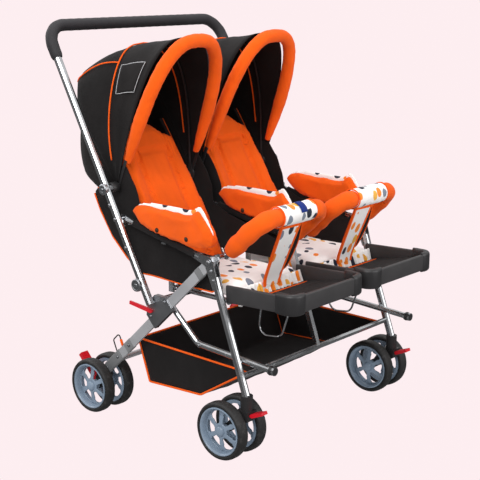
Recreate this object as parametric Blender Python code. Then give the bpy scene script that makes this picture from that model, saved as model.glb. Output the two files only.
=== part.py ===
"""Side-by-side double pram: two seats under two hoods on one folding frame.

Metres, +Z up. +X is across the pram, -Y is the way it travels, +Y is where the pusher stands.
The origin is on the ground under the middle of the whole pram.
"""
import math

import bmesh
import bpy
from mathutils import Matrix, Vector

# Driving sizes
TRACK = 0.631              # between the two castor axes
HUB_Y, HUB_Z = -0.172, 0.487   # the main pivot, where legs and armrest meet
REAR_LEG_ANGLE = -43.3     # angles are in the side view, from +Y towards +Z
FRONT_LEG_ANGLE = -110.0
HANDLE_ANGLE = 61.3
HANDLE_HEIGHT = 1.042      # middle of the crossbar
WHEEL_RADIUS = 0.075
TYRE_WIDTH = 0.032
TWIN_SPACING = 0.070       # between the middles of twin wheels
TYRE_DEPTH = 0.012
AXLE_RADIUS = 0.004
CASTOR_FORWARD = 0.00171   # the castor axis, ahead of the front leg's end
SOCKET_DROP = 0.03550      # how far the socket reaches below the leg's end
SOCKET_HEIGHT = 0.038
CASTOR_TRAIL, CASTOR_DROP = 0.050, 0.057   # from the foot of the socket to the front axle
SOCKET_RADIUS = 0.0155
STEM_RADIUS, STEM_LENGTH = 0.005, 0.024
GAP = 0.0003               # between faces that touch
PIN_RADIUS = 0.004
BORE_RADIUS = 0.0047       # round a pin that turns

# Frame tubes and bars
LEG_BAR_WIDTH = 0.026
LEG_BAR_THICK = 0.008
FRONT_TUBE_RADIUS = 0.0105
HANDLE_TUBE_RADIUS = 0.011
GRIP_RADIUS = 0.0165
ARM_TUBE_RADIUS = 0.007
SEAT_TUBE_RADIUS = 0.007
LINK_TUBE_RADIUS = 0.008
CENTRE_TUBE_RADIUS = 0.006
PLATE_THICK = 0.002
EYE_RADIUS = 0.015
REAR_LEG_LENGTH = 0.545
AXLE_BEYOND_LEG, AXLE_OFF_LEG = 0.03740, -0.01729   # the rear axle, from the leg's end
FRONT_LEG_LENGTH = 0.340
FRONT_TUBE_START = 0.040   # clear of the rear leg at both ends of the fold
FRONT_BRACE_DOWN = 0.291
ARM_TUBE_START = 0.036

# Where the handle tube, the runner and the link meet the rear leg, along it and off it
SLIDE_ALONG, SLIDE_OFF = 0.240, 0.035
LINK_ALONG, LINK_OFF = 0.215, -0.004
ARM_ALONG_HANDLE = 0.235   # from the runner pivot up to the armrest pivot
RUNNER_START, RUNNER_END = 0.196, 0.286
RUNNER_LOW, RUNNER_HIGH = -0.020, 0.046
PEDAL_TURN, PEDAL_REACH = 15.0, 0.0207   # the rear brake pedal's pivot, about the axle
PEDAL_ANGLE, PEDAL_LENGTH = 46.0, 0.085
REAR_BRACE_UP = 0.056      # the rear cross tube, above the leg's end
LINK_ON_FRONT_LEG = 0.257  # from the main pivot down the front leg
LINK_KNEE = (-0.108, 0.258)
LINK_FRONT = (-0.352, 0.243)

# Planes across the pram
LEG_X = TRACK / 2
HANDLE_X = LEG_X + LEG_BAR_THICK / 2 + 0.0035 + HANDLE_TUBE_RADIUS
LINK_X = LEG_X - FRONT_TUBE_RADIUS - 0.001 - LINK_TUBE_RADIUS
CENTRE_X = 0.009           # centre arm on one side of the middle, centre post on the other
POST_X = -0.0076
HANDLE_BEND = 0.060
GRIP_DOWN = 0.095          # how far the grip comes down each side

# Seats
SEAT_INNER, SEAT_OUTER = 0.020, 0.290
SEAT_FRONT_Y, SEAT_REAR_Y = -0.205, -0.012
SEAT_TUBE_Z = 0.385
RAIL_INSET = 0.013
CUSHION_INNER, CUSHION_OUTER = 0.0262, 0.2884
CUSHION_THICK = 0.036
CUSHION_FRONT_OVERHANG = 0.022
CUSHION_REAR_Y = 0.0329
BACK_PIVOT = (0.022, 0.405)
BACK_ANGLE = 60.0
BACK_LENGTH = 0.455
BACK_THICK = 0.034
BACK_TAPER = 0.18          # how much narrower the back is at its top
RECLINE_SIDE_GAP = 0.006
PANEL_THICK = 0.0025
PANEL_X = 0.2953
PANEL_OUTLINE = [(-0.186, 0.479), (-0.172, 0.412), (-0.158, 0.404), (0.052, 0.409), (0.094, 0.407),
                 (0.148, 0.441), (0.203, 0.490), (0.249, 0.555), (0.272, 0.598), (0.185, 0.612),
                 (0.108, 0.600), (0.100, 0.527), (0.085, 0.5235), (-0.105, 0.487)]

# Bumper bars, crotch straps, armrest pads and footrests
BUMPER_RADIUS = 0.024
BUMPER_OUTER_X, BUMPER_INNER_X = 0.279, 0.030
BUMPER_Y, BUMPER_Z = -0.303, 0.602
BUMPER_BEND = 0.050
BUMPER_FOOT = (HUB_Y - 0.030, HUB_Z + 0.022)
BUMPER_ANGLE = math.degrees(math.atan2(BUMPER_Z - BUMPER_FOOT[1], BUMPER_Y - BUMPER_FOOT[0]))
STRAP_WIDTH, STRAP_THICK = 0.056, 0.004
ARM_PAD_OUTLINE = [(0.099, 0.580), (0.078, 0.594), (-0.013, 0.603), (-0.106, 0.604), (-0.136, 0.616),
                   (-0.167, 0.583), (-0.187, 0.547), (-0.178, 0.522), (-0.140, 0.5105), (-0.105, 0.490),
                   (0.085, 0.530)]
ARM_PAD_THICK = 0.034
CENTRE_PAD_THICK = 0.022
FOOTREST_FRONT_Y = -0.411
FOOTREST_Z = 0.417
FOOTREST_HEIGHT = 0.046
FOOTREST_THICK = 0.012

# Hoods
HOOD_INNER, HOOD_OUTER = 0.010, 0.300
HOOD_ALONG_HANDLE = 0.320  # from the runner pivot up to the hood pivot
HOOD_SKIN = 0.0025
HOOD_PIN_REACH = 0.0135    # how far the pivot pins reach into each hood
RIM_RADIUS = 0.018
RIM_ANGLE, RIM_REACH = 113.0, 0.415
MID_ANGLE, MID_REACH = 90.0, 0.372
REAR_ANGLE, REAR_REACH = 57.0, 0.345
DROP_ANGLE, DROP_REACH = 24.0, 0.206
TAIL_ANGLE, TAIL_REACH = -10.0, 0.105
BOW_RADIUS = 0.0025
HOOD_ROUNDING = 2.7        # exponent of the arch: 2 is an ellipse, more is squarer

# Basket
BASKET_OUTER_X = 0.284
BASKET_SKIN = 0.0025
BASKET_OUTLINE = [(0.126, 0.219), (0.086, 0.104), (-0.103, 0.114), (-0.2634, 0.2136)]

TUBE_SIDES = 12
WHEEL_SIDES = 24


def direction(angle):
    """A unit (y, z) direction in the side view."""
    return math.cos(math.radians(angle)), math.sin(math.radians(angle))


def step(start, angle, distance, off=0.0):
    """From a (y, z) point, a distance along an angle and an offset to its left."""
    dy, dz = direction(angle)
    return start[0] + distance * dy - off * dz, start[1] + distance * dz + off * dy


HUB = (HUB_Y, HUB_Z)
SLIDE_PIVOT = step(HUB, REAR_LEG_ANGLE, SLIDE_ALONG, SLIDE_OFF)
LINK_PIVOT = step(HUB, REAR_LEG_ANGLE, LINK_ALONG, LINK_OFF)
ARM_PIVOT = step(SLIDE_PIVOT, HANDLE_ANGLE, ARM_ALONG_HANDLE)
HOOD_PIVOT = step(SLIDE_PIVOT, HANDLE_ANGLE, HOOD_ALONG_HANDLE)
HANDLE_LENGTH = (HANDLE_HEIGHT - SLIDE_PIVOT[1]) / direction(HANDLE_ANGLE)[1]
HANDLE_TOP = step(SLIDE_PIVOT, HANDLE_ANGLE, HANDLE_LENGTH)
LEG_LINK_PIVOT = step(HUB, FRONT_LEG_ANGLE, LINK_ON_FRONT_LEG)
FRONT_LEG_END = step(HUB, FRONT_LEG_ANGLE, FRONT_LEG_LENGTH)
REAR_LEG_END = step(HUB, REAR_LEG_ANGLE, REAR_LEG_LENGTH)
REAR_AXLE = step(REAR_LEG_END, REAR_LEG_ANGLE, AXLE_BEYOND_LEG, AXLE_OFF_LEG)
CASTOR_AXIS_Y = FRONT_LEG_END[0] - CASTOR_FORWARD
SOCKET_LOW = FRONT_LEG_END[1] - SOCKET_DROP
SOCKET_HIGH = SOCKET_LOW + SOCKET_HEIGHT
FRONT_AXLE = (CASTOR_AXIS_Y + CASTOR_TRAIL, SOCKET_LOW - CASTOR_DROP)
ARM_ANGLE = math.degrees(math.atan2(ARM_PIVOT[1] - HUB_Z, ARM_PIVOT[0] - HUB_Y))
ARM_LENGTH = math.dist(HUB, ARM_PIVOT)
SIDES = (("left", 1), ("right", -1))


def clear_scene():
    for old in list(bpy.data.objects):
        bpy.data.objects.remove(old, do_unlink=True)


def make_material(name, colour, roughness, metallic=0.0):
    made = bpy.data.materials.new(name)
    made.use_nodes = True
    shader = made.node_tree.nodes["Principled BSDF"]
    shader.inputs["Base Color"].default_value = (*colour, 1.0)
    shader.inputs["Roughness"].default_value = roughness
    shader.inputs["Metallic"].default_value = metallic
    return made


def add_object(name, mesh, material):
    """Put a finished mesh in the scene as one named sub-part."""
    piece = bpy.data.objects.new(name, mesh)
    bpy.context.collection.objects.link(piece)
    mesh.materials.clear()
    mesh.materials.append(material)
    mesh.shade_smooth()
    mesh.set_sharp_from_angle(angle=math.radians(35))
    return piece


def mesh_from(work):
    """Close a bmesh into a mesh whose faces point out."""
    bmesh.ops.recalc_face_normals(work, faces=work.faces)
    mesh = bpy.data.meshes.new("shape")
    work.to_mesh(mesh)
    work.free()
    return mesh


def merged(meshes):
    """Several closed shapes as one mesh, for a cutting tool."""
    work = bmesh.new()
    for mesh in meshes:
        work.from_mesh(mesh)
        bpy.data.meshes.remove(mesh)
    result = bpy.data.meshes.new("group")
    work.to_mesh(result)
    work.free()
    return result


def welded(meshes):
    """Shapes that run into each other, joined into one solid by Boolean unions."""
    holders = [bpy.data.objects.new("weld", mesh) for mesh in meshes]
    for holder in holders:
        bpy.context.collection.objects.link(holder)
    for other in holders[1:]:
        change = holders[0].modifiers.new("join", "BOOLEAN")
        change.operation = "UNION"
        change.object = other
    graph = bpy.context.evaluated_depsgraph_get()
    result = bpy.data.meshes.new_from_object(holders[0].evaluated_get(graph))
    for holder in holders:
        bpy.data.objects.remove(holder, do_unlink=True)
    return result


def rounded(points, radius, steps=5):
    """A path through the points, with each corner turned into an arc."""
    path = [Vector(points[0])]
    for before, corner, after in zip(points, points[1:], points[2:]):
        before, corner, after = Vector(before), Vector(corner), Vector(after)
        arrive = (before - corner).normalized()
        leave = (after - corner).normalized()
        half = arrive.angle(leave) / 2
        centre = corner + (arrive + leave).normalized() * radius / math.sin(half)
        first = corner + arrive * radius / math.tan(half) - centre
        last = corner + leave * radius / math.tan(half) - centre
        for index in range(steps + 1):
            path.append(centre + first.slerp(last, index / steps) * radius)
    path.append(Vector(points[-1]))
    return path


def tube(path, radius, sides=TUBE_SIDES):
    """A round bar along a path: a bevelled curve with filled caps, made a mesh."""
    curve = bpy.data.curves.new("route", "CURVE")
    curve.dimensions = "3D"
    curve.bevel_depth = radius
    curve.bevel_resolution = (sides - 4) // 2
    curve.use_fill_caps = True
    spline = curve.splines.new("POLY")
    spline.points.add(len(path) - 1)
    for point, place in zip(spline.points, path):
        point.co = (*place, 1.0)
    holder = bpy.data.objects.new("route", curve)
    bpy.context.collection.objects.link(holder)
    graph = bpy.context.evaluated_depsgraph_get()
    mesh = bpy.data.meshes.new_from_object(holder.evaluated_get(graph))
    bpy.data.objects.remove(holder, do_unlink=True)
    work = bmesh.new()
    work.from_mesh(mesh)
    bmesh.ops.remove_doubles(work, verts=work.verts, dist=1e-6)
    bpy.data.meshes.remove(mesh)
    return mesh_from(work)


def cross_pin(place, low_x, high_x, radius=PIN_RADIUS, sides=16):
    """A round pin across the pram at a (y, z) place."""
    work = bmesh.new()
    turn = Matrix.Translation(((low_x + high_x) / 2, *place)) @ Matrix.Rotation(math.pi / 2, 4, "Y")
    bmesh.ops.create_cone(work, cap_ends=True, segments=sides, radius1=radius, radius2=radius,
                          depth=high_x - low_x, matrix=turn)
    return mesh_from(work)


def upright_pin(place, low_z, high_z, radius, sides=16):
    """A round upright pin at an (x, y) place."""
    work = bmesh.new()
    bmesh.ops.create_cone(work, cap_ends=True, segments=sides, radius1=radius, radius2=radius,
                          depth=high_z - low_z,
                          matrix=Matrix.Translation((*place, (low_z + high_z) / 2)))
    return mesh_from(work)


def plate(outline, low_x, high_x):
    """A flat piece: a side-view outline extruded across the pram."""
    work = bmesh.new()
    face = work.faces.new([work.verts.new((low_x, y, z)) for y, z in outline])
    moved = bmesh.ops.extrude_face_region(work, geom=[face])["geom"]
    bmesh.ops.translate(work, vec=(high_x - low_x, 0, 0),
                        verts=[item for item in moved if isinstance(item, bmesh.types.BMVert)])
    return mesh_from(work)


def block(low, high):
    """A box between two corners."""
    work = bmesh.new()
    bmesh.ops.create_cube(work, size=1.0)
    size = [b - a for a, b in zip(low, high)]
    middle = [(a + b) / 2 for a, b in zip(low, high)]
    bmesh.ops.scale(work, vec=size, verts=work.verts)
    bmesh.ops.translate(work, vec=middle, verts=work.verts)
    return mesh_from(work)


def round_end(centre, radius, start, turn, steps=6):
    """Points of an arc in the side view, from a start angle through a turn, in degrees."""
    return [step(centre, start + turn * index / steps, radius) for index in range(steps + 1)]


def bar_outline(start, angle, length, width, radius=None, end_radius=None):
    """A flat bar with a round eye at its start, and one at its end if it has an end radius."""
    radius = radius or width / 2
    outline = round_end(start, radius, angle + 90, 180)
    end = step(start, angle, length)
    if end_radius:
        outline += round_end(end, end_radius, angle - 90, 180)
    else:
        outline += [step(end, angle, 0, -width / 2), step(end, angle, 0, width / 2)]
    return outline


def cutter(name, meshes):
    """A hidden tool for Boolean cuts."""
    tool = bpy.data.objects.new(name, merged(meshes))
    bpy.context.collection.objects.link(tool)
    tool.hide_render = True
    tool.display_type = "WIRE"
    return tool


def cut(piece, tool):
    change = piece.modifiers.new("bore", "BOOLEAN")
    change.operation = "DIFFERENCE"
    change.object = tool


def turned(profile, sides=WHEEL_SIDES):
    """A closed (x, radius) profile turned about the X axis, with a flat facing down."""
    work = bmesh.new()
    start = math.pi / sides
    loop = [work.verts.new((x, r * math.sin(start), -r * math.cos(start))) for x, r in profile]
    edges = [work.edges.new((a, b)) for a, b in zip(loop, loop[1:] + loop[:1])]
    bmesh.ops.spin(work, geom=loop + edges, cent=(0, 0, 0), axis=(1, 0, 0), angle=2 * math.pi,
                   steps=sides, use_merge=True)
    bmesh.ops.remove_doubles(work, verts=work.verts, dist=1e-6)
    return mesh_from(work)


def placed(mesh, place):
    mesh.transform(Matrix.Translation(place))
    return mesh


def pillow(size, crown, draw_in, cuts=4):
    """A padded block on the origin: crowned faces, thin rims and sides drawn in between corners."""
    work = bmesh.new()
    bmesh.ops.create_cube(work, size=2.0)
    bmesh.ops.subdivide_edges(work, edges=work.edges, cuts=cuts, use_grid_fill=True)
    for vert in work.verts:
        u, v, w = vert.co
        swell = (1 - u * u) * (1 - v * v)
        rim = 1 - 0.45 * max(abs(u), abs(v)) ** 6
        vert.co.x = u * (size[0] / 2 - draw_in * (1 - v * v) * abs(u))
        vert.co.y = v * (size[1] / 2 - draw_in * (1 - u * u) * abs(v))
        vert.co.z = w * (size[2] / 2 - crown / 2) * rim + w * crown / 2 * swell
    return mesh_from(work)


def span(side, low, high):
    """An x range on one side of the pram, in rising order."""
    return (low, high) if side > 0 else (-high, -low)


def build_wheels(look):
    """Four pairs of twin wheels, each pair on its own axle."""
    reach = WHEEL_RADIUS / math.cos(math.pi / WHEEL_SIDES)
    seat = reach - TYRE_DEPTH
    half = TYRE_WIDTH / 2
    tread = [(-half, seat), (-half, reach - 0.004), (-half * 0.55, reach), (half * 0.55, reach),
             (half, reach - 0.004), (half, seat)]
    rim = [(-half * 0.8, seat - 0.005), (-half * 0.8, seat - GAP), (half * 0.8, seat - GAP),
           (half * 0.8, seat - 0.005), (half * 0.3, 0.036), (half * 0.9, 0.013),
           (half * 0.9, AXLE_RADIUS * 0.7), (-half * 0.9, AXLE_RADIUS * 0.7), (-half * 0.9, 0.013),
           (-half * 0.3, 0.036)]
    windows = []
    for index in range(6):
        middle = index * 60 + 30
        corners = [step((0, 0), middle + turn, radius) for turn, radius in
                   ((-16, seat - 0.012), (0, seat - 0.011), (16, seat - 0.012), (10, 0.022), (-10, 0.022))]
        windows.append(plate(corners, -half, half))
    tool = cutter("rim_windows", windows)
    blank = add_object("rim_blank", turned(rim), look["rim"])
    cut(blank, tool)
    graph = bpy.context.evaluated_depsgraph_get()
    rim_mesh = bpy.data.meshes.new_from_object(blank.evaluated_get(graph))
    bpy.data.objects.remove(blank, do_unlink=True)
    bpy.data.objects.remove(tool, do_unlink=True)
    for end, axle in (("rear", REAR_AXLE), ("front", FRONT_AXLE)):
        for side_name, side in SIDES:
            middle = side * LEG_X
            rims = []
            for twin_name, twin in (("outer", side * TWIN_SPACING / 2), ("inner", -side * TWIN_SPACING / 2)):
                place = (middle + twin, *axle)
                add_object(f"{end}_{side_name}_{twin_name}_tyre", placed(turned(tread), place), look["tyre"])
                rims.append(placed(rim_mesh.copy(), place))
            axle_half = TWIN_SPACING / 2 + TYRE_WIDTH * 0.45 + 0.002
            rims.append(cross_pin(axle, middle - axle_half, middle + axle_half, AXLE_RADIUS - GAP))
            add_object(f"{end}_{side_name}_rims", welded(rims), look["rim"])


def build_rear_frame(look, hub_bores):
    """Rear legs, their cross tube, axle housings and the red brake pedals."""
    housing_half = TWIN_SPACING / 2 - TYRE_WIDTH / 2 - 0.002
    tool = cutter("axle_bores", [
        cross_pin(axle, side * LEG_X - 0.03, side * LEG_X + 0.03, BORE_RADIUS)
        for axle in (REAR_AXLE, FRONT_AXLE) for _, side in SIDES])
    brace = step(REAR_LEG_END, REAR_LEG_ANGLE, -REAR_BRACE_UP)
    legs = []
    for side_name, side in SIDES:
        low, high = span(side, LEG_X - LEG_BAR_THICK / 2, LEG_X + LEG_BAR_THICK / 2)
        legs.append(plate(bar_outline(HUB, REAR_LEG_ANGLE, REAR_LEG_LENGTH, LEG_BAR_WIDTH), low, high))
        top = step(REAR_LEG_END, REAR_LEG_ANGLE, GAP)
        shape = round_end(REAR_AXLE, 0.015, 180, 180, 8)
        shape += [step(top, REAR_LEG_ANGLE, 0.0, 0.017), step(top, REAR_LEG_ANGLE, 0.0, -0.017)]
        housing = plate(shape, side * LEG_X - housing_half, side * LEG_X + housing_half)
        cut(add_object(f"rear_axle_housing_{side_name}", housing, look["black"]), tool)
    legs.append(tube([(-LEG_X, *brace), (LEG_X, *brace)], 0.008))
    cut(add_object("rear_leg_frame", welded(legs), look["painted"]), hub_bores)
    for side_name, side in SIDES:
        pivot = step(REAR_AXLE, PEDAL_TURN, PEDAL_REACH)
        pedal = bar_outline(pivot, PEDAL_ANGLE, PEDAL_LENGTH, 0.013, 0.006)
        low, high = side * LEG_X - 0.012, side * LEG_X + 0.012
        add_object(f"rear_brake_{side_name}", plate(pedal, low, high), look["red"])
    return tool


def build_castors(look, axle_bores):
    """Swivelling castor housings with upright stems, and their brake levers."""
    housing_half = TWIN_SPACING / 2 - TYRE_WIDTH / 2 - 0.002
    for side_name, side in SIDES:
        top = SOCKET_LOW - GAP
        shape = round_end(FRONT_AXLE, 0.014, -80, 170, 8)
        shape += [(CASTOR_AXIS_Y + 0.020, top), (CASTOR_AXIS_Y - 0.018, top),
                  (CASTOR_AXIS_Y - 0.018, top - 0.022)]
        body = plate(shape, side * LEG_X - housing_half, side * LEG_X + housing_half)
        stem = upright_pin((side * LEG_X, CASTOR_AXIS_Y), SOCKET_LOW - 0.008, SOCKET_LOW + STEM_LENGTH,
                           STEM_RADIUS)
        castor = add_object(f"castor_{side_name}", welded([body, stem]), look["black"])
        cut(castor, axle_bores)
        pivot = (CASTOR_AXIS_Y - 0.018 - 0.0055, top - 0.008)
        lever = bar_outline(pivot, 158.0, 0.036, 0.008, 0.005)
        low, high = side * LEG_X - 0.011, side * LEG_X + 0.011
        add_object(f"castor_brake_{side_name}", plate(lever, low, high), look["red"])


def build_front_frame(look, hub_bores):
    """Front legs with their castor sockets, the centre leg and the cross tube."""
    parts = []
    top = step(HUB, FRONT_LEG_ANGLE, FRONT_TUBE_START)
    inner = LEG_X - LEG_BAR_THICK / 2 - 2 * GAP - PLATE_THICK
    outer = LEG_X + LEG_BAR_THICK / 2 + 2 * GAP + PLATE_THICK
    for side_name, side in SIDES:
        parts.append(tube([(side * LEG_X, *top), (side * LEG_X, *FRONT_LEG_END)], FRONT_TUBE_RADIUS))
        for near, far in ((inner - PLATE_THICK, inner), (outer, outer + PLATE_THICK)):
            shape = bar_outline(HUB, FRONT_LEG_ANGLE, 0.070, 0.020, EYE_RADIUS)
            parts.append(plate(shape, *span(side, near, far)))
        stem_axis = (side * LEG_X, CASTOR_AXIS_Y)
        socket = upright_pin(stem_axis, SOCKET_LOW, SOCKET_HIGH, SOCKET_RADIUS)
        holder = add_object(f"castor_socket_{side_name}", socket, look["black"])
        cut(holder, cutter(f"socket_holes_{side_name}", [
            upright_pin(stem_axis, SOCKET_LOW - 0.010, SOCKET_LOW + STEM_LENGTH + 0.002, STEM_RADIUS + 2 * GAP)]))
        cut(holder, cutter(f"socket_seat_{side_name}", [
            tube([(side * LEG_X, *step(FRONT_LEG_END, FRONT_LEG_ANGLE, -0.140)),
                  (side * LEG_X, *step(FRONT_LEG_END, FRONT_LEG_ANGLE, GAP))], FRONT_TUBE_RADIUS + GAP)]))
    low = step(HUB, FRONT_LEG_ANGLE, FRONT_BRACE_DOWN)
    parts.append(tube([(-LEG_X, *low), (LEG_X, *low)], SEAT_TUBE_RADIUS))
    centre = bar_outline(HUB, FRONT_LEG_ANGLE, FRONT_BRACE_DOWN, 0.012, 0.010)
    parts.append(plate(centre, -CENTRE_X - CENTRE_TUBE_RADIUS, -CENTRE_X + CENTRE_TUBE_RADIUS))
    cut(add_object("front_leg_frame", welded(parts), look["chrome"]), hub_bores)


def build_links(look):
    """The bent lower links from runner to front leg, with their pins and end caps."""
    for side_name, side in SIDES:
        rear = step(LINK_PIVOT, REAR_LEG_ANGLE, 0.0)
        path = rounded([(side * LINK_X, *rear), (side * LINK_X, *LINK_KNEE),
                        (side * LINK_X, *LINK_FRONT)], 0.030, 4)
        bar = tube(path, LINK_TUBE_RADIUS)
        pin = cross_pin(LEG_LINK_PIVOT, *span(side, LINK_X, LEG_X - FRONT_TUBE_RADIUS - GAP))
        start = (side * LINK_X, LINK_FRONT[0] + 0.006, LINK_FRONT[1])
        end = (side * LINK_X, LINK_FRONT[0] - 0.012, LINK_FRONT[1])
        cap = tube([start, end], LINK_TUBE_RADIUS + 0.003)
        add_object(f"link_{side_name}", welded([bar, pin, cap]), look["chrome"])


def build_runners(look):
    """The locking runners that slide on the rear legs, and their red release levers."""
    half = LEG_BAR_THICK / 2 + GAP + 0.0024
    for side_name, side in SIDES:
        corners = [step(HUB, REAR_LEG_ANGLE, along, off) for along, off in
                   ((RUNNER_START, RUNNER_LOW), (RUNNER_END, RUNNER_LOW), (RUNNER_END, 0.024),
                    (RUNNER_END - 0.028, RUNNER_HIGH), (RUNNER_START + 0.026, RUNNER_HIGH),
                    (RUNNER_START, 0.020))]
        body = plate(corners, side * LEG_X - half, side * LEG_X + half)
        runner = add_object(f"runner_{side_name}", body, look["steel"])
        groove = [step(HUB, REAR_LEG_ANGLE, along, off) for along, off in
                  ((RUNNER_START - 0.02, -LEG_BAR_WIDTH / 2 - GAP), (RUNNER_END + 0.02, -LEG_BAR_WIDTH / 2 - GAP),
                   (RUNNER_END + 0.02, LEG_BAR_WIDTH / 2 + GAP), (RUNNER_START - 0.02, LEG_BAR_WIDTH / 2 + GAP))]
        tool = cutter(f"leg_groove_{side_name}", [
            plate(groove, side * LEG_X - LEG_BAR_THICK / 2 - GAP, side * LEG_X + LEG_BAR_THICK / 2 + GAP)])
        cut(runner, tool)
        pivot = step(HUB, REAR_LEG_ANGLE, RUNNER_END - 0.024, 0.022)
        low, high = span(side, LEG_X + half + GAP, LEG_X + half + GAP + 0.005)
        lever = bar_outline(pivot, 6.0, 0.078, 0.009, 0.006)
        add_object(f"release_lever_{side_name}", plate(lever, low, high), look["red"])


def build_handle(look):
    """The push handle with its pivots and lock discs, the grip, and the centre post."""
    end = step(SLIDE_PIVOT, HANDLE_ANGLE, -0.004)
    grip_start = HANDLE_LENGTH - GRIP_DOWN
    tube_top = step(SLIDE_PIVOT, HANDLE_ANGLE, grip_start - GAP)
    disc_place = step(SLIDE_PIVOT, HANDLE_ANGLE, 0.055, -0.010)
    face = HANDLE_X + HANDLE_TUBE_RADIUS
    for side_name, side in SIDES:
        upright = tube([(side * HANDLE_X, *end), (side * HANDLE_X, *tube_top)], HANDLE_TUBE_RADIUS)
        pin = cross_pin(ARM_PIVOT, *span(side, LEG_X - 0.006, HANDLE_X))
        disc = cross_pin(disc_place, *span(side, face - 0.004, face + 0.003), 0.017)
        hub = cross_pin(HOOD_PIVOT, *span(side, HOOD_OUTER - HOOD_SKIN / 2 + GAP, HANDLE_X), 0.014)
        hood_pin = cross_pin(HOOD_PIVOT, *span(side, HOOD_OUTER - HOOD_PIN_REACH, HANDLE_X))
        add_object(f"handle_tube_{side_name}", welded([upright, pin, disc, hub, hood_pin]), look["chrome"])
    start = step(SLIDE_PIVOT, HANDLE_ANGLE, grip_start)
    path = rounded([(-HANDLE_X, *start), (-HANDLE_X, *HANDLE_TOP), (HANDLE_X, *HANDLE_TOP),
                    (HANDLE_X, *start)], HANDLE_BEND, 6)
    add_object("handle_grip", tube(path, GRIP_RADIUS), look["black"])
    inner = LEG_X - LEG_BAR_THICK / 2 - 0.006
    post_top = step(HOOD_PIVOT, HANDLE_ANGLE, 0.006)
    post = tube([(POST_X, *SLIDE_PIVOT), (POST_X, *post_top)], CENTRE_TUBE_RADIUS)
    cross = tube([(-inner, *SLIDE_PIVOT), (inner, *SLIDE_PIVOT)], 0.008)
    pin = cross_pin(ARM_PIVOT, -CENTRE_X, CENTRE_X - CENTRE_TUBE_RADIUS - GAP)
    hood_pin = cross_pin(HOOD_PIVOT, -HOOD_INNER - HOOD_PIN_REACH, HOOD_INNER + HOOD_PIN_REACH)
    add_object("centre_post", welded([cross, post, pin, hood_pin]), look["chrome"])


def build_armrests(look):
    """Armrest tubes with their brackets, main pivot pins and the lugs for the bumper bars."""
    inner = LEG_X - LEG_BAR_THICK / 2 - GAP
    outer = LEG_X + LEG_BAR_THICK / 2 + GAP
    arm_end = ARM_LENGTH - 0.012
    foot_reach = math.dist(HUB, BUMPER_FOOT)
    lug_angle = math.degrees(math.atan2(BUMPER_FOOT[1] - HUB_Z, BUMPER_FOOT[0] - HUB_Y))
    lug = step(HUB, lug_angle, foot_reach - 0.011)
    plug_end = step(BUMPER_FOOT, BUMPER_ANGLE, -GAP)
    plug_start = step(BUMPER_FOOT, BUMPER_ANGLE, -0.016)
    eye_bores = cutter("eye_bores", [cross_pin(ARM_PIVOT, -0.34, 0.34, BORE_RADIUS)])
    for side_name, side in SIDES:
        parts = [tube([(side * LEG_X, *step(HUB, ARM_ANGLE, ARM_TUBE_START)),
                       (side * LEG_X, *step(HUB, ARM_ANGLE, arm_end))], ARM_TUBE_RADIUS)]
        for near, far in ((inner - PLATE_THICK, inner), (outer, outer + PLATE_THICK)):
            shape = bar_outline(HUB, ARM_ANGLE, 0.060, 0.013, EYE_RADIUS)
            parts.append(plate(shape, *span(side, near, far)))
        lobe = bar_outline(HUB, lug_angle, foot_reach - 0.011, 0.016, 0.0145, 0.0075)
        parts.append(plate(lobe, *span(side, inner - PLATE_THICK * 0.95, inner - PLATE_THICK * 0.05)))
        parts.append(cross_pin(lug, *span(side, BUMPER_OUTER_X - 0.006, inner - 0.001), 0.006))
        parts.append(tube([(side * BUMPER_OUTER_X, *plug_start), (side * BUMPER_OUTER_X, *plug_end)], 0.0115))
        eye = bar_outline(ARM_PIVOT, ARM_ANGLE + 180, 0.040, 0.012, 0.0115)
        parts.append(plate(eye, *span(side, LEG_X - 0.003, LEG_X + 0.003)))
        parts.append(cross_pin(HUB, *span(side, LEG_X - 0.0105, LEG_X + 0.0105)))
        cut(add_object(f"armrest_tube_{side_name}", welded(parts), look["chrome"]), eye_bores)
    parts = [tube([(CENTRE_X, *step(HUB, ARM_ANGLE, -0.010)),
                   (CENTRE_X, *step(HUB, ARM_ANGLE, ARM_LENGTH + 0.008))], CENTRE_TUBE_RADIUS),
             cross_pin(HUB, -CENTRE_X - CENTRE_TUBE_RADIUS - 0.003, CENTRE_X)]
    parts.append(cross_pin(lug, -BUMPER_INNER_X - 0.006, BUMPER_INNER_X + 0.006, 0.006))
    strut = bar_outline(HUB, lug_angle, foot_reach - 0.011, 0.008)
    parts.append(plate(strut, CENTRE_X - 0.004, CENTRE_X + 0.004))
    for x in (-BUMPER_INNER_X, BUMPER_INNER_X):
        parts.append(tube([(x, *plug_start), (x, *plug_end)], 0.0115))
    add_object("armrest_tube_centre", welded(parts), look["chrome"])


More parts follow.
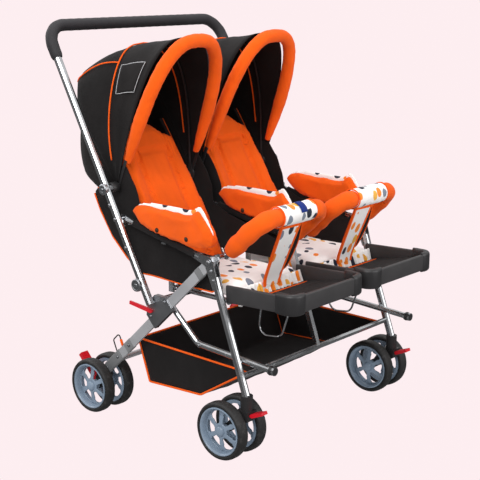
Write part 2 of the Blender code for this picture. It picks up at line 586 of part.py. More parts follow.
def build_seat_frame(look):
    """The welded seat frame and the hangers that carry it from the armrests."""
    rear = (SEAT_REAR_Y, SEAT_TUBE_Z)
    front = (SEAT_FRONT_Y, SEAT_TUBE_Z)
    reach = SEAT_OUTER + 0.002
    parts = [tube([(-reach, *rear), (reach, *rear)], SEAT_TUBE_RADIUS)]
    arm_z = step(HUB, ARM_ANGLE, (SEAT_REAR_Y - HUB_Y) / direction(ARM_ANGLE)[0])[1]
    for _, side in SIDES:
        ends = span(side, SEAT_INNER + 0.0060, SEAT_OUTER - 0.0014)
        parts.append(tube([(ends[0], *front), (ends[1], *front)], SEAT_TUBE_RADIUS))
        for rail_x in (SEAT_INNER + RAIL_INSET, SEAT_OUTER - RAIL_INSET):
            parts.append(tube([(side * rail_x, *front), (side * rail_x, *rear)], SEAT_TUBE_RADIUS * 0.94))
        low, high = span(side, reach - 0.003, reach + 0.003)
        parts.append(block((low, SEAT_REAR_Y - 0.008, SEAT_TUBE_Z - 0.008),
                           (high, SEAT_REAR_Y + 0.008, arm_z - 0.010)))
        low, high = span(side, reach - 0.002, LEG_X + 0.004)
        parts.append(block((low, SEAT_REAR_Y - 0.0075, arm_z - 0.014),
                           (high, SEAT_REAR_Y + 0.0075, arm_z - ARM_TUBE_RADIUS - 0.0023)))
    parts.append(block((CENTRE_X - 0.004, SEAT_REAR_Y - 0.006, SEAT_TUBE_Z),
                       (CENTRE_X + 0.004, SEAT_REAR_Y + 0.006, arm_z - CENTRE_TUBE_RADIUS - 0.0022)))
    add_object("seat_frame", welded(parts), look["chrome"])


def build_seats(look):
    """Cushions, reclining backs, side panels and armrest pads."""
    width = CUSHION_OUTER - CUSHION_INNER
    depth = CUSHION_REAR_Y - SEAT_FRONT_Y + CUSHION_FRONT_OVERHANG
    cushion_y = (CUSHION_REAR_Y + SEAT_FRONT_Y - CUSHION_FRONT_OVERHANG) / 2
    cushion_z = SEAT_TUBE_Z + SEAT_TUBE_RADIUS + GAP + CUSHION_THICK / 2
    lean = Matrix.Rotation(math.radians(BACK_ANGLE), 4, "X")
    for side_name, side in SIDES:
        middle = side * (CUSHION_INNER + CUSHION_OUTER) / 2
        seat = pillow((width, depth, CUSHION_THICK), CUSHION_THICK * 0.25, 0.006)
        for vert in seat.vertices:
            if vert.co.z < 0:
                vert.co.z = -CUSHION_THICK / 2
        add_object(f"seat_cushion_{side_name}", placed(seat, (middle, cushion_y, cushion_z)), look["print"])
        back_width = width - RECLINE_SIDE_GAP
        pad = pillow((back_width, BACK_LENGTH - 0.004, BACK_THICK), BACK_THICK * 0.3, 0.006)
        for vert in pad.vertices:
            vert.co.x *= 1 - BACK_TAPER * (vert.co.y / BACK_LENGTH + 0.5) ** 2
        pad.transform(Matrix.Translation((0, BACK_LENGTH / 2 + 0.002, -BACK_THICK / 2)))
        pad.transform(lean)
        add_object(f"back_cushion_{side_name}", placed(pad, (middle, *BACK_PIVOT)), look["orange"])
        panel = plate(PANEL_OUTLINE, *span(side, PANEL_X, PANEL_X + PANEL_THICK))
        add_object(f"side_panel_{side_name}", panel, look["black_cloth"])
    bores = cutter("arm_bores", [
        tube([(x, *step(HUB, ARM_ANGLE, 0.0)), (x, *step(HUB, ARM_ANGLE, ARM_LENGTH))], radius + 2 * GAP)
        for x, radius in ((LEG_X, ARM_TUBE_RADIUS), (-LEG_X, ARM_TUBE_RADIUS), (CENTRE_X, CENTRE_TUBE_RADIUS))])
    notches = []
    for x in (LEG_X, -LEG_X, CENTRE_X):
        notches.append(block((x - 0.0205, SEAT_REAR_Y - 0.0085, 0.480), (x + 0.0050, SEAT_REAR_Y + 0.0085, 0.516))
                       if x > 0 else
                       block((x - 0.0050, SEAT_REAR_Y - 0.0085, 0.480), (x + 0.0205, SEAT_REAR_Y + 0.0085, 0.516)))
        notches.append(block((x - 0.0070, -0.150, 0.480), (x + 0.0070, -0.108, 0.5095)))
    hanger_notches = cutter("hanger_notches", notches)
    for name, x, thick in (("left", LEG_X - 0.002, ARM_PAD_THICK), ("right", -LEG_X + 0.002, ARM_PAD_THICK),
                           ("centre", CENTRE_X, CENTRE_PAD_THICK)):
        pad = plate(ARM_PAD_OUTLINE, x - thick / 2, x + thick / 2)
        piece = add_object(f"arm_pad_{name}", pad, look["orange"])
        cut(piece, bores)
        cut(piece, hanger_notches)


def build_bumpers(look):
    """Padded bars in front of each seat, and the crotch straps below them."""
    for side_name, side in SIDES:
        inner, outer = side * BUMPER_INNER_X, side * BUMPER_OUTER_X
        path = rounded([(inner, *BUMPER_FOOT), (inner, BUMPER_Y, BUMPER_Z), (outer, BUMPER_Y, BUMPER_Z),
                        (outer, *BUMPER_FOOT)], BUMPER_BEND, 5)
        add_object(f"bumper_bar_{side_name}", tube(path, BUMPER_RADIUS), look["orange"])
        middle = side * (BUMPER_INNER_X + BUMPER_OUTER_X) / 2
        top = (BUMPER_Y + 0.004, BUMPER_Z - BUMPER_RADIUS * math.cos(math.pi / TUBE_SIDES) - GAP)
        cushion_top = SEAT_TUBE_Z + SEAT_TUBE_RADIUS + CUSHION_THICK
        knee = (SEAT_FRONT_Y - CUSHION_FRONT_OVERHANG + 0.0052, cushion_top - 0.008)
        outline = [top, (top[0] + 0.002, top[1] - 0.020), knee, (knee[0], knee[1] - 0.020),
                   (knee[0] - STRAP_THICK, knee[1] - 0.020), (knee[0] - STRAP_THICK, knee[1]),
                   (top[0] + 0.002 - STRAP_THICK, top[1] - 0.020), (top[0] - STRAP_THICK, top[1])]
        strap = plate(outline, middle - STRAP_WIDTH / 2, middle + STRAP_WIDTH / 2)
        add_object(f"crotch_strap_{side_name}", strap, look["print"])


def build_footrests(look):
    """U-shaped footrests that hinge at the front of the seat frame."""
    half = FOOTREST_HEIGHT / 2
    for side_name, side in SIDES:
        outer_low, outer_high = SEAT_OUTER - 0.001, SEAT_OUTER - 0.001 + FOOTREST_THICK
        inner_low, inner_high = SEAT_INNER - 0.0043, SEAT_INNER + 0.0055
        arm = [(SEAT_FRONT_Y + 0.008, SEAT_TUBE_Z - 0.010), (SEAT_FRONT_Y + 0.010, SEAT_TUBE_Z + 0.006),
               (SEAT_FRONT_Y - 0.006, FOOTREST_Z + half * 0.75),
               (FOOTREST_FRONT_Y, FOOTREST_Z + half), (FOOTREST_FRONT_Y, FOOTREST_Z - half),
               (SEAT_FRONT_Y - 0.030, FOOTREST_Z - half)]
        parts = [plate(arm, *span(side, outer_low, outer_high)), plate(arm, *span(side, inner_low, inner_high))]
        low, high = span(side, inner_low, outer_high)
        parts.append(block((low, FOOTREST_FRONT_Y - FOOTREST_THICK, FOOTREST_Z - half),
                           (high, FOOTREST_FRONT_Y + 0.004, FOOTREST_Z + half)))
        add_object(f"footrest_{side_name}", welded(parts), look["black"])


def arch(reach, angle, half_width, steps, end_reach=0.030):
    """Points of a hood bow: up one side, over and down the other, about the hood pivot."""
    points = []
    for index in range(steps + 1):
        turn = math.pi * index / steps
        across = -math.copysign(abs(math.cos(turn)) ** (2 / HOOD_ROUNDING), math.cos(turn))
        rise = max(math.sin(turn), 0.0) ** (2 / HOOD_ROUNDING)
        distance = end_reach + (reach - end_reach) * rise
        points.append(Vector((across * half_width, *step((0.0, 0.0), angle, distance))))
    return points


def build_hoods(look):
    """Cloth hoods on a padded front rim, a middle bow and a rear bow, all turning on one axis."""
    half = (HOOD_OUTER - HOOD_INNER) / 2
    stations = [(RIM_ANGLE - 5.5, RIM_REACH - 0.006), (102.0, 0.392), (MID_ANGLE, MID_REACH),
                (74.0, 0.362), (REAR_ANGLE, REAR_REACH), (40.0, 0.245), (DROP_ANGLE, DROP_REACH),
                (8.0, 0.179), (TAIL_ANGLE, TAIL_REACH)]
    bores = cutter("hood_bores", [cross_pin(HOOD_PIVOT, -0.34, 0.34, BORE_RADIUS)])
    for side_name, side in SIDES:
        middle = Vector((side * (HOOD_INNER + HOOD_OUTER) / 2, *HOOD_PIVOT))
        work = bmesh.new()
        rows = [[work.verts.new(point + middle) for point in arch(reach, angle, half - HOOD_SKIN, 16, 0.012)]
                for angle, reach in stations]
        for row, following in zip(rows, rows[1:]):
            for index in range(len(row) - 1):
                work.faces.new((row[index], row[index + 1], following[index + 1], following[index]))
        skin = bpy.data.meshes.new("hood")
        bmesh.ops.recalc_face_normals(work, faces=work.faces)
        work.to_mesh(skin)
        work.free()
        hood = add_object(f"hood_cloth_{side_name}", skin, look["black_cloth"])
        wall = hood.modifiers.new("wall", "SOLIDIFY")
        wall.thickness = HOOD_SKIN
        wall.offset = 0.0
        rim_path = [point + middle for point in arch(RIM_REACH, RIM_ANGLE, half - RIM_RADIUS * 0.86, 18, 0.070)]
        bow_path = [point + middle for point in arch(MID_REACH - 0.007, MID_ANGLE, half - 0.0106, 16, 0.034)]
        rim_parts, bow_parts = [tube(rim_path, RIM_RADIUS, 10)], [tube(bow_path, BOW_RADIUS, 8)]
        for outward in (-1, 1):
            wall_x = middle.x + outward * half
            shape = bar_outline(HOOD_PIVOT, RIM_ANGLE, 0.082, 0.009, 0.010)
            rim_parts.append(plate(shape, *sorted((wall_x - outward * 0.0052, wall_x - outward * 0.0077))))
            shape = bar_outline(HOOD_PIVOT, MID_ANGLE, 0.038, 0.005, 0.009)
            bow_parts.append(plate(shape, *sorted((wall_x - outward * 0.0083, wall_x - outward * 0.0110))))
        cut(add_object(f"hood_rim_{side_name}", welded(rim_parts), look["orange"]), bores)
        cut(add_object(f"hood_bow_{side_name}", welded(bow_parts), look["black"]), bores)
        cut(hood, cutter(f"rim_seat_{side_name}", [tube(rim_path, RIM_RADIUS + GAP, 10)]))


def build_basket(look):
    """The cloth basket slung between the legs, open at the top."""
    work = bmesh.new()
    outer = BASKET_OUTER_X - BASKET_SKIN
    rows = [[work.verts.new((x, y, z)) for y, z in BASKET_OUTLINE] for x in (-outer, outer)]
    for row_start in range(len(BASKET_OUTLINE) - 1):
        work.faces.new((rows[0][row_start], rows[0][row_start + 1], rows[1][row_start + 1], rows[1][row_start]))
    for row in rows:
        work.faces.new(row)
    bmesh.ops.recalc_face_normals(work, faces=work.faces)
    shell = bpy.data.meshes.new("basket")
    work.to_mesh(shell)
    work.free()
    basket = add_object("basket", shell, look["black_cloth"])
    wall = basket.modifiers.new("wall", "SOLIDIFY")
    wall.thickness = BASKET_SKIN
    wall.offset = 0.0


def main():
    clear_scene()
    look = {
        "chrome": make_material("chrome_tube", (0.72, 0.73, 0.75), 0.22, 1.0),
        "steel": make_material("steel_plate", (0.55, 0.56, 0.58), 0.35, 1.0),
        "painted": make_material("painted_leg", (0.62, 0.63, 0.64), 0.4, 0.3),
        "black": make_material("black_plastic", (0.03, 0.03, 0.033), 0.45),
        "red": make_material("red_plastic", (0.72, 0.02, 0.03), 0.35),
        "rim": make_material("grey_rim", (0.42, 0.48, 0.55), 0.4),
        "tyre": make_material("tyre_foam", (0.035, 0.035, 0.037), 0.8),
        "orange": make_material("orange_cloth", (0.93, 0.19, 0.01), 0.85),
        "black_cloth": make_material("black_cloth", (0.028, 0.027, 0.028), 0.9),
        "print": make_material("printed_cloth", (0.86, 0.85, 0.82), 0.85),
    }
    hub_bores = cutter("hub_bores", [cross_pin(HUB, -0.34, 0.34, BORE_RADIUS)])
    build_wheels(look)
    axle_bores = build_rear_frame(look, hub_bores)
    build_castors(look, axle_bores)
    build_front_frame(look, hub_bores)
    build_links(look)
    build_runners(look)
    build_handle(look)
    build_armrests(look)
    build_seat_frame(look)
    build_seats(look)
    build_bumpers(look)
    build_footrests(look)
    build_hoods(look)
    build_basket(look)


main()
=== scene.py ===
# %% [markdown]
# # A side-by-side double pram
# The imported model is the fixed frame: each tube, wheel and pad is there already, as a plain solid that moves
# on its joints. Each cell below lays one family of pieces or finishes over it, so that the pram looks real
# while the frame keeps its sizes. Everything is in metres: +X is the pram's left, -Y is the way it travels,
# +Z is up.

# %% Tools and the frame
import math

import bmesh
import bpy
import numpy as np
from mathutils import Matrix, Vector, noise


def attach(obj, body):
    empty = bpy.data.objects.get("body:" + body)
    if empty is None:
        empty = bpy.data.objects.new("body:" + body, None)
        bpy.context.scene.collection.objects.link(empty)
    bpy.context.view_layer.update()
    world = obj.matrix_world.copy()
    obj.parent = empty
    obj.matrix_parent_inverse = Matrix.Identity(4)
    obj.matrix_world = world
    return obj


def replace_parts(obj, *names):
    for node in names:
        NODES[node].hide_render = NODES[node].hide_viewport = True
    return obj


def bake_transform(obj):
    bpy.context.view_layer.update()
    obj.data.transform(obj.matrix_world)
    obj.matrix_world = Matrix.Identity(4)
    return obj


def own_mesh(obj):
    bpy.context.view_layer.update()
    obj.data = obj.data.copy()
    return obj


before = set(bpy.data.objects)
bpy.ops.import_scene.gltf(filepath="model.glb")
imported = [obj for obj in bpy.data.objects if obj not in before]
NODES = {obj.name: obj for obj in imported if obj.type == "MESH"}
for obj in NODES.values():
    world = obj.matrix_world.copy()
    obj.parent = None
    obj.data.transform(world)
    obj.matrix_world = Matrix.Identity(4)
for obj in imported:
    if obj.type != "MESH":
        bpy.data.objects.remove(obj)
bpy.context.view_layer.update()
SIDES = (("left", 1), ("right", -1))


def direction(angle):
    """A unit (y, z) direction in the side view, from +Y towards +Z."""
    return math.cos(math.radians(angle)), math.sin(math.radians(angle))


def step(start, angle, distance, off=0.0):
    """From a (y, z) point, a distance along an angle and an offset to its left."""
    dy, dz = direction(angle)
    return start[0] + distance * dy - off * dz, start[1] + distance * dz + off * dy


# %% [markdown]
# ## Places taken from the CAD part
# A folding pram is easiest to describe in its side view: a few pivots, and angles from +Y towards +Z. The
# pivots are worked out here by the same steps as in the part, so a piece that is laid over a tube follows
# the tube's own line and not a guess.

# %% Pivots and sizes
HUB = (-0.172, 0.487)          # the main pivot
REAR_LEG_ANGLE = -43.3
FRONT_LEG_ANGLE = -110.0
HANDLE_ANGLE = 61.3
SLIDE_PIVOT = step(HUB, REAR_LEG_ANGLE, 0.240, 0.035)
HOOD_PIVOT = step(SLIDE_PIVOT, HANDLE_ANGLE, 0.320)
HANDLE_LENGTH = (1.042 - SLIDE_PIVOT[1]) / direction(HANDLE_ANGLE)[1]
HANDLE_TOP = step(SLIDE_PIVOT, HANDLE_ANGLE, HANDLE_LENGTH)
ARM_ANGLE = 12.14
LEG_X = 0.3155
HANDLE_X = 0.334
LINK_X = 0.296
WHEEL_RADIUS = 0.075
TYRE_WIDTH = 0.032
TWIN_SPACING = 0.070
SEAT_FRONT_Y = -0.205
CUSHION_LOW_Z = 0.3925
CUSHION_TOP_Z = 0.428
CUSHION_INNER, CUSHION_OUTER = 0.0262, 0.2884
CUSHION_FRONT_Y, CUSHION_REAR_Y = -0.227, 0.0329
BACK_PIVOT = (0.022, 0.405)
BACK_ANGLE = 60.0
BACK_LENGTH = 0.455
BACK_THICK = 0.034
BACK_TAPER = 0.18
BUMPER_Y, BUMPER_Z = -0.303, 0.602
BUMPER_OUTER_X, BUMPER_INNER_X = 0.279, 0.030
BUMPER_FOOT = (-0.202, 0.509)
BUMPER_RADIUS = 0.024
HOOD_INNER, HOOD_OUTER = 0.010, 0.300
RIM_ANGLE, RIM_REACH, RIM_RADIUS = 113.0, 0.415, 0.018
HOOD_ROUNDING = 2.7
FOOTREST_FRONT_Y, FOOTREST_Z = -0.411, 0.417
print("handle top (y, z):", [round(part, 4) for part in HANDLE_TOP])

# %% [markdown]
# ## Camera, lights and backdrop
# To set a model beside its photograph, the camera has to stand where the photographer stood. The level
# handle, the wheels and the legs fix its place, heading and lens. One lamp could light the pram, but four
# broad ones give the even, nearly shadowless light of a catalogue picture. The backdrop is one pale pink.

# %% Camera and lights
CAMERA_PLACE = (-2.278, -1.998, 1.178)
CAMERA_HEADING = 48.6          # degrees, from +Y towards +X
CAMERA_DOWN = 13.33
LENS = 84.45                   # mm, on a 36 mm sensor
BACKDROP = (0.985, 0.855, 0.875)

scene = bpy.context.scene
scene.render.resolution_x = 960
scene.render.resolution_y = 960
scene.view_settings.view_transform = "Standard"
scene.view_settings.look = "None"

camera_data = bpy.data.cameras.new("camera")
camera_data.lens = LENS
camera_data.sensor_width = 36.0
camera = bpy.data.objects.new("camera", camera_data)
camera.location = CAMERA_PLACE
camera.rotation_euler = (math.radians(90 - CAMERA_DOWN), 0.0, math.radians(-CAMERA_HEADING))
scene.collection.objects.link(camera)
scene.camera = camera


def area_light(name, place, aim, size, power):
    lamp = bpy.data.lights.new(name, "AREA")
    lamp.shape = "RECTANGLE"
    lamp.size, lamp.size_y = size
    lamp.energy = power
    holder = bpy.data.objects.new(name, lamp)
    holder.location = place
    holder.rotation_euler = (Vector(aim) - Vector(place)).to_track_quat("-Z", "Y").to_euler()
    scene.collection.objects.link(holder)


area_light("key_light", (-2.6, -1.0, 2.6), (0.0, 0.0, 0.5), (1.6, 1.6), 56.0)
area_light("fill_light", (0.6, -3.2, 1.5), (0.0, 0.0, 0.5), (2.4, 1.8), 36.0)
area_light("top_light", (0.2, 0.4, 3.0), (0.0, 0.0, 0.4), (2.5, 2.0), 30.0)
area_light("back_light", (-0.6, 2.8, 1.8), (0.0, 0.0, 0.7), (1.8, 1.4), 24.0)

# %% [markdown]
# ## Shader expressions
# A material is a graph of nodes. It could be wired link by link, but a sum is easier to read as a sum, so
# a `Value` wraps a node's socket, and arithmetic on it adds Math nodes. All other nodes come from one
# function, which sets a node's settings first and then fills its sockets.


# %% Node helpers
def connect(tree, node, sockets):
    """Give each named socket a value, or a link from another socket."""
    for name, item in sockets.items():
        source = item.socket if isinstance(item, Value) else item
        if isinstance(source, bpy.types.NodeSocket):
            tree.links.new(source, node.inputs[name])
        else:
            node.inputs[name].default_value = source


def add_node(tree, kind, settings=None, sockets=None):
    """Add one node: its settings first, then its sockets."""
    node = tree.nodes.new(kind)
    for name, item in (settings or {}).items():
        setattr(node, name, item)
    connect(tree, node, sockets or {})
    return node


class Value:
    """A number in a shader: arithmetic on it adds Math nodes."""

    def __init__(self, tree, socket):
        self.tree = tree
        self.socket = socket

    def _math(self, operation, other):
        node = add_node(self.tree, "ShaderNodeMath", {"operation": operation}, {0: self, 1: other})
        return Value(self.tree, node.outputs[0])

    def __add__(self, other):
        return self._math("ADD", other)

    def __mul__(self, other):
        return self._math("MULTIPLY", other)

    def __rsub__(self, other):
        return self._math("MULTIPLY", -1.0) + other

    __radd__ = __add__
    __rmul__ = __mul__

    def above(self, limit):
        return self._math("GREATER_THAN", limit)

    def ramp(self, low, high):
        """0 below low, 1 above high, smooth between."""
        node = add_node(self.tree, "ShaderNodeMapRange", {"interpolation_type": "SMOOTHSTEP"},
                        {"Value": self, "From Min": low, "From Max": high})
        return Value(self.tree, node.outputs["Result"])


WAVE_FACTOR = 0.314            # a Wave texture of this scale has one band to a metre


class Surface:
    """A Principled material whose inputs are set by name."""

    def __init__(self, name):
        self.material = bpy.data.materials.new(name)
        self.material.use_nodes = True
        self.tree = self.material.node_tree
        self.shader = self.tree.nodes["Principled BSDF"]
        self.place = add_node(self.tree, "ShaderNodeTexCoord").outputs["Object"]

    def scaled(self, scale, shift=(0.0, 0.0, 0.0)):
        """The coordinates, stretched and shifted on each axis."""
        node = add_node(self.tree, "ShaderNodeMapping", {},
                        {"Vector": self.place, "Scale": scale, "Location": shift})
        return node.outputs["Vector"]

    def noise(self, scale, detail=3.0, roughness=0.5, stretch=(1.0, 1.0, 1.0)):
        node = add_node(self.tree, "ShaderNodeTexNoise", {}, {
            "Vector": self.scaled(stretch), "Scale": scale, "Detail": detail, "Roughness": roughness})
        return Value(self.tree, node.outputs["Fac"])

    def threads(self, spacing):
        """A woven surface: threads on the three axes that cross each other."""
        crossed = None
        for axis in ("X", "Y", "Z"):
            node = add_node(self.tree, "ShaderNodeTexWave", {"wave_type": "BANDS", "bands_direction": axis}, {
                "Vector": self.place, "Scale": WAVE_FACTOR / spacing, "Distortion": 0.6, "Detail": 1.0})
            wave = Value(self.tree, node.outputs["Fac"])
            crossed = wave if crossed is None else crossed + wave
        return crossed * 0.333

    def colour_mix(self, factor, first, second):
        ends = [item if isinstance(item, bpy.types.NodeSocket) else (*item, 1.0) for item in (first, second)]
        node = add_node(self.tree, "ShaderNodeMix", {"data_type": "RGBA"},
                        {"Factor": factor, "A": ends[0], "B": ends[1]})
        return node.outputs["Result"]

    def set(self, **inputs):
        """Set the shader's own inputs: base_color stands for Base Color, and so on."""
        named = {name.replace("_", " ").title().replace("Ior", "IOR"): item for name, item in inputs.items()}
        connect(self.tree, self.shader, named)
        return self

    def bump(self, height, strength, distance):
        node = add_node(self.tree, "ShaderNodeBump", {},
                        {"Strength": strength, "Distance": distance, "Height": height})
        return self.set(normal=node.outputs["Normal"])


def shade(colour, factor):
    return tuple(min(1.0, part * factor) for part in colour)


# %% [markdown]
# ## The room
# The camera sees the even pink backdrop, but a plain pink world would make plated tube look like pink
# plastic. So the world gives each kind of ray its own answer: the backdrop for the camera, a soft white
# room for light, and for reflections a room with a dark band at eye level.

# %% The world
ROOM_WHITE = (0.97, 0.95, 0.96)
ROOM_STRENGTH = 0.78
MIRROR_STOPS = ((0.00, 0.20), (0.40, 0.10), (0.54, 0.07), (0.62, 0.62), (0.80, 0.95), (1.00, 0.55))

world = bpy.data.worlds.new("world")
world.use_nodes = True
scene.world = world
room = world.node_tree
seen = room.nodes["Background"]
connect(room, seen, {"Color": (*BACKDROP, 1.0), "Strength": 1.0})
lit_room = add_node(room, "ShaderNodeBackground", {},
                    {"Color": (*ROOM_WHITE, 1.0), "Strength": ROOM_STRENGTH})
heading = add_node(room, "ShaderNodeTexCoord").outputs["Generated"]
height = add_node(room, "ShaderNodeSeparateXYZ", {}, {0: heading}).outputs["Z"]
lifted = add_node(room, "ShaderNodeMapRange", {}, {"Value": height, "From Min": -1.0}).outputs["Result"]
bands = add_node(room, "ShaderNodeValToRGB", {}, {"Fac": lifted})
while len(bands.color_ramp.elements) < len(MIRROR_STOPS):
    bands.color_ramp.elements.new(0.5)
for element, (place, grey) in zip(bands.color_ramp.elements, MIRROR_STOPS):
    element.position = place
    element.color = (grey, grey, grey, 1.0)
mirrored_room = add_node(room, "ShaderNodeBackground", {}, {"Color": bands.outputs["Color"]})
rays = add_node(room, "ShaderNodeLightPath")
by_gloss = add_node(room, "ShaderNodeMixShader", {}, {
    "Fac": rays.outputs["Is Glossy Ray"], 1: lit_room.outputs[0], 2: mirrored_room.outputs[0]})
by_camera = add_node(room, "ShaderNodeMixShader", {}, {
    "Fac": rays.outputs["Is Camera Ray"], 1: by_gloss.outputs[0], 2: seen.outputs[0]})
connect(room, room.nodes["World Output"], {"Surface": by_camera.outputs[0]})
print("world:", len(room.nodes), "nodes")

# %% [markdown]
# ## Cloth materials
# The pram's cloth is plain woven, with threads under a millimetre apart. A picture of cloth could be
# wrapped round each piece, but a pattern that is worked out needs no file and shows no joins: crossed
# waves for the threads, slow noise for lighter and darker dye, and finer noise for creases. The white
# cloth is printed with spots. A cell pattern suits them, because it puts one spot in each cell and gives
# each cell a number that can pick the spot's colour.

# %% Cloth
ORANGE = (0.880, 0.112, 0.005)
BLACK_CLOTH = (0.0125, 0.0105, 0.0105)
WHITE_CLOTH = (0.90, 0.88, 0.86)
SPOTS = ((0.18, 0.21, 0.26), (0.86, 0.24, 0.02), (0.012, 0.018, 0.035), (0.80, 0.42, 0.06))
SPOT_CELLS = 33.0              # spots to a metre
THREAD = 0.0009


def cloth(name, colour, depth=0.75, crease=0.0014):
    made = Surface(name)
    patches = made.noise(9.0, 4.0).ramp(0.30, 0.72)
    weave = made.threads(THREAD)
    folds = made.noise(34.0, 3.0, 0.55)
    made.set(base_color=made.colour_mix(patches, shade(colour, depth), colour))
    made.set(roughness=made.noise(60.0, 2.0) * 0.14 + 0.76, specular_ior_level=0.14)
    made.set(sheen_weight=0.04, sheen_roughness=0.55)
    return made.bump(weave * 0.25 + folds * 0.9, 0.55, crease).material


def printed_cloth(name, flat, unwrapped=False):
    """White cloth with a scatter of rounded spots in four colours.

    The axis that the cloth faces has a small factor in flat, and is shifted to the middle of the cells."""
    made = Surface(name)
    if unwrapped:
        made.place = add_node(made.tree, "ShaderNodeTexCoord").outputs["UV"]
    stretch = tuple(SPOT_CELLS * part for part in flat)
    to_middle = tuple(0.5 if part < 0.1 else 0.0 for part in flat)
    cells = add_node(made.tree, "ShaderNodeTexVoronoi", {"feature": "F1", "distance": "EUCLIDEAN"}, {
        "Vector": made.scaled(stretch, to_middle), "Scale": 1.0, "Randomness": 0.55})
    distance = Value(made.tree, cells.outputs["Distance"])
    wobble = made.noise(80.0, 1.0) * 0.11
    spot = 1.0 - (distance + wobble).ramp(0.400, 0.418)
    split = add_node(made.tree, "ShaderNodeSeparateColor", {}, {"Color": cells.outputs["Color"]})
    pick = Value(made.tree, split.outputs["Red"])
    some = Value(made.tree, split.outputs["Green"]).above(0.08)
    ink = made.colour_mix(pick.above(0.25), SPOTS[0], SPOTS[1])
    ink = made.colour_mix(pick.above(0.50), ink, SPOTS[2])
    ink = made.colour_mix(pick.above(0.75), ink, SPOTS[3])
    patches = made.noise(12.0, 3.0).ramp(0.35, 0.70)
    ground = made.colour_mix(patches, shade(WHITE_CLOTH, 0.93), WHITE_CLOTH)
    made.set(base_color=made.colour_mix(spot * some, ground, ink))
    made.set(roughness=made.noise(50.0, 2.0) * 0.12 + 0.72, specular_ior_level=0.25)
    made.set(sheen_weight=0.12, sheen_roughness=0.5)
    return made.bump(made.threads(THREAD) * 0.25 + made.noise(38.0, 3.0) * 0.8, 0.5, 0.0012).material


orange_cloth = cloth("orange_cloth_weave", ORANGE, 0.86)
black_cloth = cloth("black_cloth_weave", BLACK_CLOTH, 0.62, 0.0018)
print_flat = printed_cloth("printed_cloth_laid", (1.0, 0.80, 0.002))
print_front = printed_cloth("printed_cloth_upright", (1.15, 0.002, 0.78))
print_side = printed_cloth("printed_cloth_sideways", (0.002, 0.9, 1.0))
print_wrap = printed_cloth("printed_cloth_wrapped", (1.10, 0.75, 0.002), True)
label_blue = cloth("dark_blue_label", (0.010, 0.030, 0.190), 0.9, 0.0003)
piping_cloth = cloth("orange_piping", shade(ORANGE, 1.02), 0.92, 0.0005)
print("cloths:", len(bpy.data.materials))

# %% [markdown]
# ## Metal, plastic, foam and rubber
# Plated tube is mostly mirror, so its colour matters less than its roughness: faint marks from drawing
# and a few dull patches. Moulded plastic has a fine grain, and foam tyres are dusty. One flat colour for
# each would look like a toy, so each finish varies slowly over the surface.


# %% Hard finishes
def metal(name, colour, roughness, streak=(1.0, 1.0, 1.0), grain=160.0, metallic=1.0):
    made = Surface(name)
    marks = made.noise(grain, 4.0, 0.6, streak)
    patches = made.noise(14.0, 3.0).ramp(0.35, 0.75)
    made.set(base_color=made.colour_mix(patches, shade(colour, 0.86), colour))
    made.set(metallic=metallic, roughness=marks * 0.16 + patches * 0.06 + (roughness - 0.08))
    return made.bump(marks, 0.12, 0.0003).material


def plastic(name, colour, roughness, grain=700.0, depth=0.00025):
    made = Surface(name)
    patches = made.noise(18.0, 3.0).ramp(0.3, 0.7)
    made.set(base_color=made.colour_mix(patches, shade(colour, 0.82), colour))
    made.set(roughness=made.noise(30.0, 3.0) * 0.16 + (roughness - 0.08))
    return made.bump(made.noise(grain, 2.0), 0.35, depth).material


def tyre_rubber(name):
    """Foam rubber with patches of dust."""
    made = Surface(name)
    dust = made.noise(70.0, 5.0, 0.65).ramp(0.50, 0.78)
    made.set(base_color=made.colour_mix(dust, (0.0135, 0.0130, 0.0130), (0.045, 0.043, 0.042)))
    made.set(roughness=made.noise(90.0, 3.0) * 0.2 + 0.55)
    return made.bump(made.noise(900.0, 2.0), 0.4, 0.0003).material


chrome = metal("chrome_tube_drawn", (0.60, 0.61, 0.63), 0.22, (0.12, 1.0, 1.0))
steel = metal("pressed_steel", (0.44, 0.45, 0.47), 0.38)
leg_paint = metal("silver_leg_paint", (0.56, 0.57, 0.59), 0.36, metallic=0.45)
dark_plastic = plastic("black_plastic_grain", (0.022, 0.021, 0.022), 0.42)
footrest_plastic = plastic("footrest_plastic_grain", (0.040, 0.038, 0.039), 0.50)
grip_foam = plastic("grip_foam_pores", (0.018, 0.016, 0.019), 0.70, 420.0, 0.0006)
red_plastic = plastic("red_plastic_grain", (0.66, 0.008, 0.020), 0.30)
rim_plastic = plastic("rim_plastic_grain", (0.235, 0.305, 0.390), 0.34, 500.0, 0.0002)
grey_sleeve = plastic("grey_sleeve_grain", (0.20, 0.205, 0.21), 0.48)
tyre_black = tyre_rubber("tyre_foam_dusty")
snap_black = plastic("snap_button_grain", (0.035, 0.020, 0.012), 0.35)

CAD_FINISH = {
    "handle_tube": chrome, "armrest_tube": chrome, "seat_frame": chrome, "front_leg_frame": chrome,
    "link": chrome, "centre_post": chrome, "rear_leg_frame": leg_paint, "runner": steel,
    "rear_axle_housing": dark_plastic, "castor_brake": red_plastic, "castor_socket": dark_plastic,
    "castor": dark_plastic, "rear_brake": red_plastic, "release_lever": red_plastic,
    "hood_bow": dark_plastic,
}
for name, node in NODES.items():
    matches = [key for key in CAD_FINISH if name.startswith(key)]
    for slot in node.material_slots if matches else ():
        slot.link = "OBJECT"
        slot.material = CAD_FINISH[max(matches, key=len)]
print("materials:", len(bpy.data.materials))

# %% [markdown]
# ## Mesh tools
# Most pieces here are one of four shapes: a section carried along a path, a profile spun round an axle,
# an outline extruded to a plate, or a stuffed pad. Each has one helper. The sweep is worked out point by
# point, because its section changes on the way and its UV map has to hold real lengths for the print.


